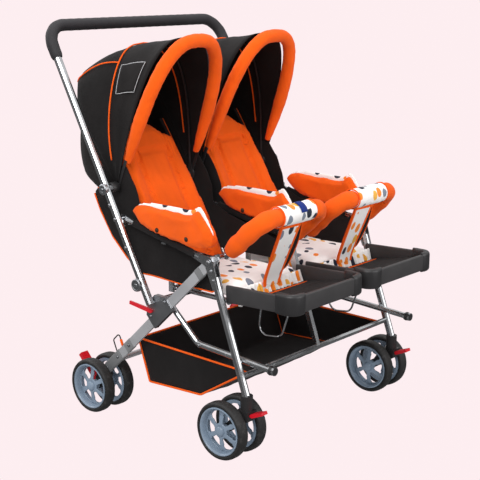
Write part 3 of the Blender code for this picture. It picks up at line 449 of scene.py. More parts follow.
# %% Shared shapes
def finish_piece(name, work, material, body, crease=40.0):
    """Turn a bmesh into a piece that rides on a CAD body."""
    bmesh.ops.recalc_face_normals(work, faces=work.faces)
    mesh = bpy.data.meshes.new(name)
    work.to_mesh(mesh)
    work.free()
    piece = bpy.data.objects.new(name, mesh)
    scene.collection.objects.link(piece)
    mesh.materials.append(material)
    mesh.shade_smooth()
    if crease:
        mesh.set_sharp_from_angle(angle=math.radians(crease))
    if body:
        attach(piece, body)
    return piece


def subdivided(piece, levels=1):
    smooth = piece.modifiers.new("smooth", "SUBSURF")
    smooth.levels = levels
    smooth.render_levels = levels
    return piece


def solid(piece, thickness, offset=0.0):
    wall = piece.modifiers.new("wall", "SOLIDIFY")
    wall.thickness = thickness
    wall.offset = offset
    return piece

# %% [markdown]
# ### Paths
# Bent tube and sewn edges follow a line with soft corners. A curve object could draw them, but a list of
# points is easy to measure, to shorten and to hand on, so paths are plain lists here.


# %% Paths
def smooth_path(points, parts=8):
    """A Catmull-Rom path through the points."""
    points = [Vector(point) for point in points]
    padded = [points[0] * 2 - points[1], *points, points[-1] * 2 - points[-2]]
    path = []
    for a, b, c, d in zip(padded, padded[1:], padded[2:], padded[3:]):
        for index in range(parts):
            t = index / parts
            path.append(0.5 * (2 * b + (c - a) * t + (2 * a - 5 * b + 4 * c - d) * t * t
                               + (3 * b - 3 * c + d - a) * t * t * t))
    path.append(points[-1])
    return path


def rounded(points, radius, parts=8):
    """A path through the points, with each corner turned into an arc."""
    path = [Vector(points[0])]
    for before, corner, after in zip(points, points[1:], points[2:]):
        before, corner, after = Vector(before), Vector(corner), Vector(after)
        arrive = (before - corner).normalized()
        leave = (after - corner).normalized()
        half = arrive.angle(leave) / 2
        centre = corner + (arrive + leave).normalized() * radius / math.sin(half)
        first = corner + arrive * radius / math.tan(half) - centre
        last = corner + leave * radius / math.tan(half) - centre
        for index in range(parts + 1):
            path.append(centre + first.slerp(last, index / parts) * radius)
    path.append(Vector(points[-1]))
    return path


def evenly(path, spacing):
    """The same path with points at an even spacing."""
    lengths = [0.0]
    for a, b in zip(path, path[1:]):
        lengths.append(lengths[-1] + (b - a).length)
    count = max(2, round(lengths[-1] / spacing))
    result, index = [], 0
    for number in range(count + 1):
        want = lengths[-1] * number / count
        while index < len(path) - 2 and lengths[index + 1] < want:
            index += 1
        span = lengths[index + 1] - lengths[index]
        part = 0.0 if span == 0 else (want - lengths[index]) / span
        result.append(path[index].lerp(path[index + 1], min(1.0, part)))
    return result

# %% [markdown]
# ### Sweeps
# Tube, strap and piping are one section carried along a path. `loft` keeps the section from twisting, and
# with a side given, as for a flat strap, it holds the section's width along that side.


# %% Sweeps
def loft(work, path, section, side=None, closed=False):
    """Carry a closed section along a path; section(t) gives (across, up) offsets.

    The UV map holds real lengths: along the path, and round the section."""
    count = len(path)
    rings = []
    travelled = [0.0]
    for before, after in zip(path, path[1:] + path[:1]):
        travelled.append(travelled[-1] + (after - before).length)
    unwrap = work.loops.layers.uv.verify()
    across = Vector(side) if side else None
    for index, point in enumerate(path):
        before = path[index - 1] if index or closed else path[0]
        after = path[(index + 1) % count] if index < count - 1 or closed else path[-1]
        ahead = (after - before).normalized()
        if across is None:
            across = ahead.orthogonal().normalized()
        turned = (across - ahead * across.dot(ahead)).normalized()
        if not side:
            across = turned
        up = ahead.cross(turned)
        t = index / (count - 1)
        rings.append([work.verts.new(point + turned * a + up * b) for a, b in section(t)])
    loops = list(zip(rings, rings[1:]))
    if closed:
        loops.append((rings[-1], rings[0]))
    for number, (ring, following) in enumerate(loops):
        size = len(ring)
        around = [0.0]
        for k in range(size):
            around.append(around[-1] + (ring[(k + 1) % size].co - ring[k].co).length)
        for k in range(size):
            face = work.faces.new((ring[k], ring[(k + 1) % size], following[(k + 1) % size], following[k]))
            corners = ((number, k), (number, k + 1), (number + 1, k + 1), (number + 1, k))
            for corner, (place, turn) in zip(face.loops, corners):
                corner[unwrap].uv = (travelled[place], around[turn])
    if not closed:
        work.faces.new(rings[0][::-1])
        work.faces.new(rings[-1])
    return rings


def circle(radius, sides=12):
    """A round section, whose radius may change along the path."""
    def section(t):
        size = radius(t) if callable(radius) else radius
        return [(size * math.cos(2 * math.pi * k / sides), size * math.sin(2 * math.pi * k / sides))
                for k in range(sides)]
    return section


def flat_section(width, thick, round_off=0.35):
    """A strap's section: a rectangle with rounded edges."""
    def section(t):
        wide = (width(t) if callable(width) else width) / 2
        deep = thick / 2
        inner = deep * round_off
        return [(-wide, -inner), (-wide + inner, -deep), (wide - inner, -deep), (wide, -inner),
                (wide, inner), (wide - inner, deep), (-wide + inner, deep), (-wide, inner)]
    return section


def cord_piece(name, path, radius, material, body, sides=8, closed=False):
    work = bmesh.new()
    loft(work, [Vector(point) for point in path], circle(radius, sides), closed=closed)
    return finish_piece(name, work, material, body, None)

# %% [markdown]
# ### Turned and extruded shapes
# Whatever came off a lathe or out of a round mould is spun about X, since each axle and rivet of the pram
# lies across it. A plate or a leaf is one outline, extruded.


# %% Turned and extruded shapes
def turned(work, profile, place, parts=48, flip=1.0):
    """Spin an (along, radius) profile right round an axis that lies along X."""
    centre = Vector(place)
    points = [work.verts.new(centre + Vector((along * flip, radius, 0.0))) for along, radius in profile]
    edges = [work.edges.new(pair) for pair in zip(points, points[1:])]
    bmesh.ops.spin(work, geom=points + edges, cent=centre, axis=(1, 0, 0), angle=2 * math.pi, steps=parts,
                   use_merge=True)
    bmesh.ops.remove_doubles(work, verts=work.verts, dist=1e-6)


def dome(radius, height, parts=5):
    """A rivet head's profile, from its rim to its crown."""
    points = [(0.0, radius)]
    for index in range(parts + 1):
        angle = math.pi / 2 * index / parts
        points.append((height * (0.25 + 0.75 * math.sin(angle)), max(radius * math.cos(angle), 0.0)))
    return points


def extruded(work, outline, low_x, high_x):
    """A side-view outline extruded across the pram."""
    face = work.faces.new([work.verts.new((low_x, y, z)) for y, z in outline])
    grown = bmesh.ops.extrude_face_region(work, geom=[face], use_keep_orig=True)["geom"]
    moved = [item for item in grown if isinstance(item, bmesh.types.BMVert)]
    bmesh.ops.translate(work, verts=moved, vec=(high_x - low_x, 0.0, 0.0))

# %% [markdown]
# ### Padding
# Stuffed cloth bulges between its seams. The pad is remeshed evenly, so that the cloth simulation has even
# cells to work on, and each point's way is limited, so that a pad keeps close to its own size.


# %% Padding
def wrinkled(mesh, size, depth, seed=0.0):
    """Push each point along its normal by smooth noise."""
    for vert in mesh.vertices:
        shift = noise.noise(Vector((vert.co.x / size + seed, vert.co.y / size, vert.co.z / size)))
        vert.co += vert.normal * shift * depth


def stuffed(mesh, most, pressure=4.0, voxel=0.005):
    """Remesh a pad and swell it with a short cloth simulation, each point by a limited way."""
    piece = bpy.data.objects.new("pad", mesh)
    scene.collection.objects.link(piece)
    even = piece.modifiers.new("even", "REMESH")
    even.mode = "VOXEL"
    even.voxel_size = voxel
    graph = bpy.context.evaluated_depsgraph_get()
    rest = bpy.data.meshes.new_from_object(piece.evaluated_get(graph))
    piece.modifiers.clear()
    piece.data = rest
    swell = piece.modifiers.new("swell", "CLOTH")
    swell.settings.use_pressure = True
    swell.settings.uniform_pressure_force = pressure
    swell.settings.effector_weights.gravity = 0.0
    swell.point_cache.frame_start = 1
    swell.point_cache.frame_end = 20
    for number in range(1, 21):
        scene.frame_set(number)
    graph = bpy.context.evaluated_depsgraph_get()
    swollen = piece.evaluated_get(graph).data
    start = np.empty(len(rest.vertices) * 3)
    end = np.empty(len(rest.vertices) * 3)
    rest.vertices.foreach_get("co", start)
    swollen.vertices.foreach_get("co", end)
    shift = (end - start).reshape(-1, 3)
    length = np.linalg.norm(shift, axis=1, keepdims=True)
    shift *= np.minimum(1.0, most / np.maximum(length, 1e-9))
    piece.modifiers.clear()
    rest.vertices.foreach_set("co", start + shift.reshape(-1))
    scene.frame_set(1)
    bpy.data.objects.remove(piece, do_unlink=True)
    return rest


def pad_piece(name, mesh, material, body):
    """A finished padded piece from a mesh, with one smoothing level."""
    mesh.name = name
    piece = bpy.data.objects.new(name, mesh)
    scene.collection.objects.link(piece)
    mesh.materials.clear()
    mesh.materials.append(material)
    mesh.shade_smooth()
    subdivided(piece)
    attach(piece, body)
    return piece


def as_mesh(work, name="shape"):
    bmesh.ops.recalc_face_normals(work, faces=work.faces)
    mesh = bpy.data.meshes.new(name)
    work.to_mesh(mesh)
    work.free()
    return mesh


def sheet_area(work):
    return sum(face.calc_area() for face in work.faces)


def fill_rows(work, rows):
    """Join rows of points to a sheet of four-sided faces."""
    for row, following in zip(rows, rows[1:]):
        for k in range(len(row) - 1):
            work.faces.new((row[k], row[k + 1], following[k + 1], following[k]))


# %% [markdown]
# ## Wheels
# Each wheel is a foam tyre pressed over a moulded rim with six windows. Tyre, lip and hub are round, so
# they are spun from a profile. The windows could be cut out of the dish with booleans, but leaving faces
# out of a fine polar grid keeps the edges clean, and a Solidify modifier then gives the dish its wall.

# %% Rim and tyre
WINDOWS = 6
RIM_RADIUS_OUT = 0.0625


def rim_window(radius, angle):
    """Whether a point of the dish is inside one of the six openings."""
    pitch = 2 * math.pi / WINDOWS
    away = abs((angle + pitch / 2) % pitch - pitch / 2)
    spoke = 0.0052 + 0.10 * (radius - 0.020) * 0.5
    return 0.0205 < radius < 0.0500 and (pitch / 2 - away) * radius > spoke and away * radius < 0.0165


def build_rim(name, place, outward, body):
    work = bmesh.new()
    rings = [0.0125, 0.0165, 0.0205, 0.0245, 0.0290, 0.0340, 0.0390, 0.0440, 0.0480, 0.0510, 0.0545]
    parts = 96
    grid = []
    for radius in rings:
        dish = 0.0065 - 0.0085 * ((radius - 0.0125) / 0.042) ** 0.8
        row = []
        for index in range(parts):
            angle = 2 * math.pi * index / parts
            row.append(work.verts.new(Vector(place) + Vector((
                outward * dish, radius * math.cos(angle), radius * math.sin(angle)))))
        grid.append(row)
    for k in range(len(rings) - 1):
        middle = (rings[k] + rings[k + 1]) / 2
        for index in range(parts):
            angle = 2 * math.pi * (index + 0.5) / parts
            if not rim_window(middle, angle):
                following = (index + 1) % parts
                low, high = grid[k], grid[k + 1]
                work.faces.new((low[index], low[following], high[following], high[index]))
    loose = [vert for vert in work.verts if not vert.link_faces]
    bmesh.ops.delete(work, geom=loose, context="VERTS")
    dish = finish_piece(f"{name}_dish", work, rim_plastic, body, None)
    subdivided(solid(dish, 0.0045))
    work = bmesh.new()
    lip = [(-0.0135, 0.0535), (-0.0140, RIM_RADIUS_OUT), (0.0125, RIM_RADIUS_OUT), (0.0150, 0.0622),
           (0.0158, 0.0598), (0.0140, 0.0575), (0.0080, 0.0560), (-0.0020, 0.0535), (-0.0135, 0.0535)]
    turned(work, lip, place, parts=72, flip=outward)
    finish_piece(f"{name}_lip", work, rim_plastic, body, 50.0)
    work = bmesh.new()
    hub = [(-0.0130, 0.0060), (-0.0130, 0.0125), (0.0060, 0.0140), (0.0105, 0.0128), (0.0132, 0.0100),
           (0.0144, 0.0055), (0.0147, 0.0)]
    turned(work, hub, place, parts=40, flip=outward)
    finish_piece(f"{name}_hub", work, rim_plastic, body, 50.0)


def build_tyre(name, place, body, node):
    work = bmesh.new()
    half = TYRE_WIDTH / 2
    seat = 0.0622
    profile = [(-half * 0.80, seat), (-half * 0.97, 0.0655), (-half, 0.0690), (-half * 0.90, 0.0722),
               (-half * 0.62, 0.0744), (-half * 0.30, WHEEL_RADIUS), (0.0, 0.0746),
               (half * 0.30, WHEEL_RADIUS), (half * 0.62, 0.0744), (half * 0.90, 0.0722), (half, 0.0690),
               (half * 0.97, 0.0655), (half * 0.80, seat), (-half * 0.80, seat)]
    turned(work, profile, place, parts=96)
    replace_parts(finish_piece(name, work, tyre_black, body, 60.0), node)

# %% [markdown]
# Each corner carries two wheels on one short axle, so a loop over ends, sides and twins places all eight.
# A wheel set turns as one, so its pieces ride on the same body.

# %% Eight wheels on four axles
for end, axle_y in (("rear", 0.240), ("front", -0.240)):
    for side_name, side in SIDES:
        body = f"{end}_wheels_{side_name}"
        for twin_name, twin in (("outer", side), ("inner", -side)):
            place = (side * LEG_X + twin * TWIN_SPACING / 2, axle_y, WHEEL_RADIUS)
            stem = f"{end}_{side_name}_{twin_name}"
            build_tyre(f"{stem}_tyre_round", place, body, f"{stem}_tyre")
            build_rim(f"{stem}_rim", place, twin, body)
        work = bmesh.new()
        reach = TWIN_SPACING / 2 + 0.012
        turned(work, [(-reach, 0.0), (-reach, 0.0036), (reach, 0.0036), (reach, 0.0)],
               (side * LEG_X, axle_y, WHEEL_RADIUS), parts=20)
        axle = finish_piece(f"{end}_{side_name}_axle", work, steel, body, 50.0)
        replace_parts(axle, f"{end}_{side_name}_rims")

# %% [markdown]
# ## Handle grip, rivets and knobs
# The grip is one long foam sleeve over the bent handle, so its round section is carried along the
# handle's own path. Rivets are small domed heads on washers and the hood's knobs are dished: both are
# spun, because a turned part is a profile and an axis.

# %% Handle grip
grip_start = step(SLIDE_PIVOT, HANDLE_ANGLE, HANDLE_LENGTH - 0.095)
grip_path = evenly(rounded([(-HANDLE_X, *grip_start), (-HANDLE_X, *HANDLE_TOP), (HANDLE_X, *HANDLE_TOP),
                            (HANDLE_X, *grip_start)], 0.060, 12), 0.008)


def grip_radius(t):
    edge = min(t, 1 - t) * 0.85
    return 0.0162 - 0.0025 * math.exp(-edge / 0.006) + 0.00025 * math.sin(t * 170)


work = bmesh.new()
loft(work, grip_path, circle(grip_radius, 24))
grip = finish_piece("grip_sleeve", work, grip_foam, "handle", 60.0)
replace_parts(grip, "handle_grip")

# %% [markdown]
# A rivet's head stands on a thin washer and faces outwards. One helper makes them all, since only their
# place, size and body differ. Each rides on the part that it is set in.


# %% Rivets, lock discs and knobs
def rivet(name, place, outward, body, radius=0.0045, height=0.0028, material=None):
    """A domed rivet head facing out along X."""
    work = bmesh.new()
    profile = [(-0.001, radius * 1.45), (0.0008, radius * 1.45), (0.0008, radius)]
    profile += [(0.0008 + along, size) for along, size in dome(radius, height)]
    turned(work, profile, place, parts=24, flip=outward)
    return finish_piece(name, work, material or steel, body, 50.0)


HANDLE_FACE = HANDLE_X + 0.0110
DISC_FACE = HANDLE_FACE + 0.003
LOCK_DISC = [(0.0, 0.0165), (0.0022, 0.0160), (0.0030, 0.0145), (0.0030, 0.0125), (0.0018, 0.0118),
             (0.0018, 0.0)]
LINK_KNEE = (-0.108, 0.258)
LINK_FACE = LINK_X + 0.008
HUB_FACE = LEG_X + 0.0093
KNOB = [(-0.004, 0.0060), (-0.004, 0.0145), (0.0040, 0.0150), (0.0070, 0.0135), (0.0082, 0.0100),
        (0.0070, 0.0062), (0.0050, 0.0055), (0.0050, 0.0)]
HUB_SLEEVE = [(-0.0120, 0.0), (-0.0120, 0.0140), (-0.0112, 0.0148), (0.0112, 0.0148), (0.0120, 0.0140),
              (0.0120, 0.0)]
for side_name, side in SIDES:
    for number, along in enumerate((0.155, 0.235, 0.275)):
        place = step(SLIDE_PIVOT, HANDLE_ANGLE, along)
        rivet(f"handle_rivet_{side_name}_{number}", (side * HANDLE_FACE, *place), side, "handle")
    disc = step(SLIDE_PIVOT, HANDLE_ANGLE, 0.055, -0.010)
    rivet(f"lock_disc_rivet_{side_name}", (side * DISC_FACE, *disc), side, "handle", 0.0050)
    work = bmesh.new()
    turned(work, LOCK_DISC, (side * DISC_FACE, *disc), parts=48, flip=side)
    finish_piece(f"lock_disc_face_{side_name}", work, steel, "handle", 50.0)
    work = bmesh.new()
    turned(work, KNOB, (side * (HANDLE_FACE - 0.001), *HOOD_PIVOT), parts=40, flip=side)
    finish_piece(f"hood_knob_{side_name}", work, steel, "handle", 50.0)
    rivet(f"hood_knob_rivet_{side_name}", (side * (HANDLE_FACE + 0.004), *HOOD_PIVOT), side, "handle", 0.0042)
    work = bmesh.new()
    turned(work, HUB_SLEEVE, (side * 0.312, *HOOD_PIVOT), parts=36)
    finish_piece(f"hood_hub_sleeve_{side_name}", work, dark_plastic, "handle", 50.0)
    for label, x in (("inner", side * 0.0170), ("outer", side * 0.2905)):
        facing = side if label == "inner" else -side
        work = bmesh.new()
        button = [(0.45 * along, radius) for along, radius in KNOB]
        turned(work, button, (x, *HOOD_PIVOT), parts=40, flip=facing)
        finish_piece(f"hood_button_{label}_{side_name}", work, dark_plastic, "handle", 50.0)
        rivet(f"hood_button_rivet_{label}_{side_name}", (x + facing * 0.0020, *HOOD_PIVOT), facing,
              "handle", 0.0036, 0.0022)
    rivet(f"hub_rivet_{side_name}", (side * HUB_FACE, *HUB), side, "seat_unit", 0.0060, 0.0034)
    for number, along in enumerate((0.022, 0.046)):
        place = step(HUB, FRONT_LEG_ANGLE, along)
        rivet(f"leg_plate_rivet_{side_name}_{number}", (side * HUB_FACE, *place), side, "front_frame",
              0.0034, 0.002)
    place = step(LINK_KNEE, 183.5, 0.010)
    rivet(f"link_rivet_{side_name}", (side * LINK_FACE, *place), side, "links", 0.0042)

# %% [markdown]
# ## Hoods
# A hood is cloth sewn over wire bows that fan out from a pivot. A simulation could drape it, but the
# bows fix its shape, so each row of the sheet is an arch about the pivot, and between the bows the cloth
# hangs a little slack. Front and rear are two sheets that lap.

# %% Hood cloth
HOOD_HALF = (HOOD_OUTER - HOOD_INNER) / 2
HOOD_STATIONS = [(107.5, 0.409), (102.0, 0.392), (90.0, 0.372), (74.0, 0.362), (57.0, 0.345),
                 (40.0, 0.245), (24.0, 0.206), (8.0, 0.179), (-10.0, 0.105)]
HOOD_FRONT_ANGLE, HOOD_TAIL_ANGLE = HOOD_STATIONS[0][0], HOOD_STATIONS[-1][0]
HOOD_CLOTH_HALF = HOOD_HALF - 0.0025
HOOD_ROWS = 44
HOOD_ACROSS = 48
HOOD_END_REACH = 0.014
HOOD_SLACK = 0.0045


def hood_reach(angle):
    """How far the cloth stands from the pivot, at an angle."""
    return float(np.interp(angle, [a for a, _ in HOOD_STATIONS][::-1], [r for _, r in HOOD_STATIONS][::-1]))


def hood_slack(angle):
    """The sag between one bow and the next."""
    for low, high in ((-10.0, 24.0), (24.0, 57.0), (57.0, 90.0), (90.0, 107.5)):
        if low <= angle <= high:
            return HOOD_SLACK * math.sin(math.pi * (angle - low) / (high - low))
    return 0.0


def hood_rounding(angle):
    """The arch's exponent: rounder over the front bows, squarer where the cloth drops behind."""
    return float(np.interp(angle, (0.0, 57.0, 84.0), (4.6, 5.2, HOOD_ROUNDING)))


def hood_point(middle_x, angle, turn, reach, half, end_reach=HOOD_END_REACH):
    """A point of a bow: up one side, over and down the other."""
    rounding = hood_rounding(angle)
    across = -math.copysign(abs(math.cos(turn)) ** (2 / rounding), math.cos(turn))
    rise = max(math.sin(turn), 0.0) ** (2 / rounding)
    place = step(HOOD_PIVOT, angle, end_reach + (reach - end_reach) * rise)
    return Vector((middle_x + across * half, *place))


def even_turn(share):
    """Spread the points more evenly over the squarish arch."""
    centred = 2 * share - 1
    return math.pi / 2 * (1 + math.copysign(abs(centred) ** 0.72, centred))


def hood_sheet(name, middle_x, first_row, last_row, inside, seed):
    """The rows of the hood's cloth from one to another, a little inside where another part laps over it."""
    work = bmesh.new()
    rows = []
    for index in range(first_row, last_row + 1):
        angle = HOOD_FRONT_ANGLE + (HOOD_TAIL_ANGLE - HOOD_FRONT_ANGLE) * index / HOOD_ROWS
        reach = hood_reach(angle)
        row = []
        for k in range(HOOD_ACROSS + 1):
            turn = even_turn(k / HOOD_ACROSS)
            point = hood_point(middle_x, angle, turn, reach, HOOD_CLOTH_HALF)
            out = (point - Vector((middle_x, *HOOD_PIVOT)))
            share = out.length / 0.41
            fold = noise.noise(Vector((angle * 0.16 + seed, k * 0.22, 0.0))) * 0.0034 * share
            fold += math.sin(k * 0.9 + seed) * 0.0008 * share
            sag = hood_slack(angle) * share + max(0.0, fold) + inside
            row.append(work.verts.new(point - out.normalized() * sag))
        rows.append(row)
    fill_rows(work, rows)
    area = sheet_area(work)
    piece = finish_piece(name, work, black_cloth, None, None)
    solid(piece, 0.0014)
    return piece, area

# %% [markdown]
# ### How the hood pieces are placed
# Real hood cloth is fixed to the handle at its pivot and is pulled along by whatever moves. Riding on the
# handle or the rim alone would tear it away from the other, so these pieces ride on no body: each has its
# place baked into its points.

# %% Hood placement and seams
FOLD_ANGLE = 168.0             # a direction in the side view, from the hood's pivot
FOLD_START, FOLD_END = -0.100, 0.150
REAR_ROW, LAP_ROWS = 19, 2     # where the rear part of the hood starts, and how far the parts lap
REAR_ANGLE, REAR_DEPTH = -33.0, 0.140


def follows_back(piece):
    """Bake a rear piece of the hood's placement into its points."""
    end = (0.0, *step(HOOD_PIVOT, REAR_ANGLE, REAR_DEPTH))
    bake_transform(piece)
    return piece


def follows_rim(piece):
    """Bake a piece of the hood's placement into its points."""
    start = (0.0, *step(HOOD_PIVOT, FOLD_ANGLE, FOLD_START))
    end = (0.0, *step(HOOD_PIVOT, FOLD_ANGLE, FOLD_END))
    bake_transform(piece)
    return piece


def hood_line(middle_x, angle_at, low, high, lift, count=44):
    """A seam over the hood, from one share of the arch to another."""
    points = []
    for index in range(count + 1):
        share = low + (high - low) * index / count
        angle = angle_at(share)
        points.append(hood_point(middle_x, angle, even_turn(share), hood_reach(angle) + lift,
                                 HOOD_CLOTH_HALF + lift))
    return points


def middle_seam(share):
    """The middle seam leans back a little towards the pivots."""
    return 84.0 - 9.0 * abs(2 * share - 1) ** 3


def tail_seam(share):
    return -9.0

# %% [markdown]
# ### Two hoods
# Each hood gets its cloth in two parts, orange piping along its seams, the padded front rim and the two
# flat arms that carry the rim. The rim is one round section on an arch, swept like a tube, with shallow
# wrinkles pushed into it.

# %% Two hoods
for side_name, side in SIDES:
    middle_x = side * (HOOD_INNER + HOOD_OUTER) / 2
    hood, area = hood_sheet(f"hood_shell_{side_name}", middle_x, 0, REAR_ROW + LAP_ROWS, 0.0, 3.1 * side)
    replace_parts(follows_rim(hood), f"hood_cloth_{side_name}")
    tail, tail_area = hood_sheet(f"hood_tail_{side_name}", middle_x, REAR_ROW - LAP_ROWS, HOOD_ROWS, 0.0017,
                                 3.1 * side)
    follows_back(tail)
    for label, seam_angle, lift in (("middle", middle_seam, 0.0016), ("tail", tail_seam, 0.0005)):
        line = evenly(hood_line(middle_x, seam_angle, 0.02, 0.98, lift), 0.007)
        seam = cord_piece(f"hood_piping_{label}_{side_name}", line, 0.0021, piping_cloth, None)
        if label == "tail":
            tail_piping = follows_back(seam)
        else:
            follows_rim(seam)
    for label, share in (("a", 0.37), ("b", 0.63)):
        line = [hood_point(middle_x, angle, even_turn(share), hood_reach(angle) + 0.0012, HOOD_HALF - 0.0013)
                for angle in np.linspace(middle_seam(share), 56.0, 16)]
        seam = cord_piece(f"hood_shoulder_{label}_{side_name}", line, 0.0019, piping_cloth, None)
        follows_rim(seam)
    print("hood", side_name, "front", round(area, 4), "tail", round(tail_area, 4), "square metres")
    inner_line = evenly(hood_line(middle_x, middle_seam, 0.06, 0.94, -0.0048), 0.007)
    seam = cord_piece(f"hood_piping_inside_{side_name}", inner_line, 0.0020, piping_cloth, None)
    follows_rim(seam)
    rim_body = f"hood_rim_{side_name}"
    half = HOOD_HALF - RIM_RADIUS * 0.86
    path = evenly([hood_point(middle_x, RIM_ANGLE, even_turn(k / 60), RIM_REACH, half, 0.070)
                   for k in range(61)], 0.006)

    def rim_radius(t):
        taper = min(1.0, min(t, 1 - t) / 0.16)
        return RIM_RADIUS * (0.40 + 0.60 * taper ** 0.6) * (1 + 0.012 * math.sin(t * 210))

    work = bmesh.new()
    loft(work, path, circle(rim_radius, 20))
    rim = finish_piece(f"hood_rim_pad_{side_name}", work, orange_cloth, rim_body, None)
    wrinkled(rim.data, 0.016, 0.0012, side)
    subdivided(rim)
    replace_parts(rim, f"hood_rim_{side_name}")
    for outward in (-1, 1):
        work = bmesh.new()
        base = step(HOOD_PIVOT, RIM_ANGLE, 0.0)
        tip = step(HOOD_PIVOT, RIM_ANGLE, 0.080)
        x = middle_x + outward * (HOOD_HALF - 0.0064)
        loft(work, [Vector((x, *base)), Vector((x, *tip))], flat_section(0.010, 0.0025), (0, -1, 0))
        finish_piece(f"hood_arm_{side_name}_{'outer' if outward * side > 0 else 'inner'}", work, dark_plastic,
                     rim_body)
    back_out = Vector((0.0, *direction(RIM_ANGLE - 90)))
    seam_path = [point + back_out * rim_radius(k / (len(path) - 1)) * 0.97 for k, point in enumerate(path)]
    cord_piece(f"hood_rim_seam_{side_name}", seam_path[2:-2], 0.0014, piping_cloth, rim_body,
               6)

# %% [markdown]
# A patch is stitched to the right hood in pale thread. It is left bare. It takes its points from the
# hood's own surface, because a flat patch would cut through the curve.

# %% Hood patch
PATCH_ANGLES = (86.5, 102.0)
PATCH_SHARES = (0.237, 0.355)
pale_thread = cloth("pale_thread", (0.55, 0.55, 0.56), 0.9, 0.0002)
patch_x = -(HOOD_INNER + HOOD_OUTER) / 2


def patch_point(across, up, lift=0.0012):
    angle = PATCH_ANGLES[0] + (PATCH_ANGLES[1] - PATCH_ANGLES[0]) * across
    share = PATCH_SHARES[0] + (PATCH_SHARES[1] - PATCH_SHARES[0]) * up
    return hood_point(patch_x, angle, even_turn(share), hood_reach(angle) + lift, HOOD_CLOTH_HALF + lift)


work = bmesh.new()
cells = 10
grid = [[work.verts.new(patch_point(a / cells, b / cells, 0.0006)) for a in range(cells + 1)]
        for b in range(cells + 1)]
fill_rows(work, grid)
patch_area = sheet_area(work)
patch = follows_rim(finish_piece("hood_patch", work, black_cloth, None, None))
solid(patch, 0.0008)
border = [patch_point(k / 12, 0) for k in range(12)] + [patch_point(1, k / 12) for k in range(12)]
border += [patch_point(1 - k / 12, 1) for k in range(12)] + [patch_point(0, 1 - k / 12) for k in range(12)]
stitching = cord_piece("hood_patch_stitching", border, 0.0008, pale_thread, None, 6, True)
follows_rim(stitching)
print("patch", round(patch_area, 5), "square metres")

# %% [markdown]
# ## Seats
# A seat cushion is a sewn bag with stuffing. Sculpting each bulge would look stiff, so a box is drawn in
# at its sides and swelled by a short cloth simulation. The sewn channels are pressed in afterwards,
# because the remesh before the simulation would blur them. A gathered hem hangs over the front edge.


# %% Pad shapes
def box_pad(low, high, crown, cuts=7):
    """A closed pad between two corners, crowned on top and drawn in along its sides."""
    work = bmesh.new()
    bmesh.ops.create_cube(work, size=2.0)
    bmesh.ops.subdivide_edges(work, edges=work.edges, cuts=cuts, use_grid_fill=True)
    size = [(b - a) / 2 for a, b in zip(low, high)]
    middle = [(a + b) / 2 for a, b in zip(low, high)]
    for vert in work.verts:
        u, v, w = vert.co
        rise = crown * (1 - u * u) * (1 - v * v) if w > 0 else 0.0
        round_off = 1 - 0.20 * (max(abs(u), abs(v)) ** 8) * abs(w)
        vert.co = (middle[0] + u * size[0] * (1 - 0.035 * (1 - v * v)) * (1 - 0.02 * w * w),
                   middle[1] + v * size[1] * (1 - 0.030 * (1 - u * u)) * (1 - 0.02 * w * w),
                   middle[2] + w * (size[2] - crown / 2) * round_off - crown / 2 + rise)
    return as_mesh(work)


def press(mesh, depth_at):
    """Sink points along their normals by a depth that depends on where they are."""
    for vert in mesh.vertices:
        depth = depth_at(vert.co, vert.normal)
        if depth:
            vert.co -= vert.normal * depth


def groove(distance, width, depth):
    return depth * math.exp(-(distance / width) ** 2)

# %% [markdown]
# The hem hangs from the cushion's front edge in many small folds. It is a grid whose rows swing out more
# the lower they hang, because a gathered strip opens towards its free edge.

# %% Two cushions and their hems
HEM_DEPTH = 0.040
SEAT_CHANNEL_X, SEAT_CHANNEL_Y = 0.066, -0.085
for side_name, side in SIDES:
    low_x, high_x = sorted((side * CUSHION_INNER, side * CUSHION_OUTER))
    low = (low_x + 0.004, CUSHION_FRONT_Y + 0.004, CUSHION_LOW_Z + 0.002)
    high = (high_x - 0.004, CUSHION_REAR_Y - 0.006, CUSHION_TOP_Z + 0.004)
    pad = stuffed(box_pad(low, high, 0.010), 0.006)
    middle_x = (low_x + high_x) / 2

    def seat_depth(place, normal):
        if normal.z < 0.3:
            return 0.0
        lines = groove(abs(place.x - middle_x) - SEAT_CHANNEL_X, 0.006, 0.0040)
        lines += groove(place.y - SEAT_CHANNEL_Y, 0.007, 0.0035)
        return lines - 0.0012 * noise.noise(Vector((place.x * 30, place.y * 30, side)))

    press(pad, seat_depth)
    for vert in pad.vertices:
        vert.co.z = max(vert.co.z, CUSHION_LOW_Z)
    cushion = pad_piece(f"seat_pad_{side_name}", pad, print_flat, "seat_unit")
    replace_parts(cushion, f"seat_cushion_{side_name}")
    work = bmesh.new()
    rows = []
    count = 150
    for level in range(7):
        drop = level / 6
        row = []
        for k in range(count + 1):
            share = k / count
            wave = math.sin(share * 2 * math.pi * 17 + 0.6 * math.sin(share * 40 + side))
            ragged = 0.0055 * math.sin(share * 2 * math.pi * 8.5 + 1.3)
            x = low_x + 0.006 + (high_x - low_x - 0.012) * share
            y = CUSHION_FRONT_Y + 0.001 - 0.004 * drop - (0.0010 + 0.0060 * drop) * (1 + wave)
            z = CUSHION_TOP_Z - 0.006 - (0.038 + ragged) * drop
            row.append(work.verts.new((x, y, z)))
        rows.append(row)
    fill_rows(work, rows)
    area = sheet_area(work)
    hem = finish_piece(f"seat_hem_{side_name}", work, print_front, "seat_unit", None)
    solid(hem, 0.0010)
    hem_length = round(area / HEM_DEPTH, 3)
    print("seat", side_name, "hem", hem_length, "metres long before it is gathered")

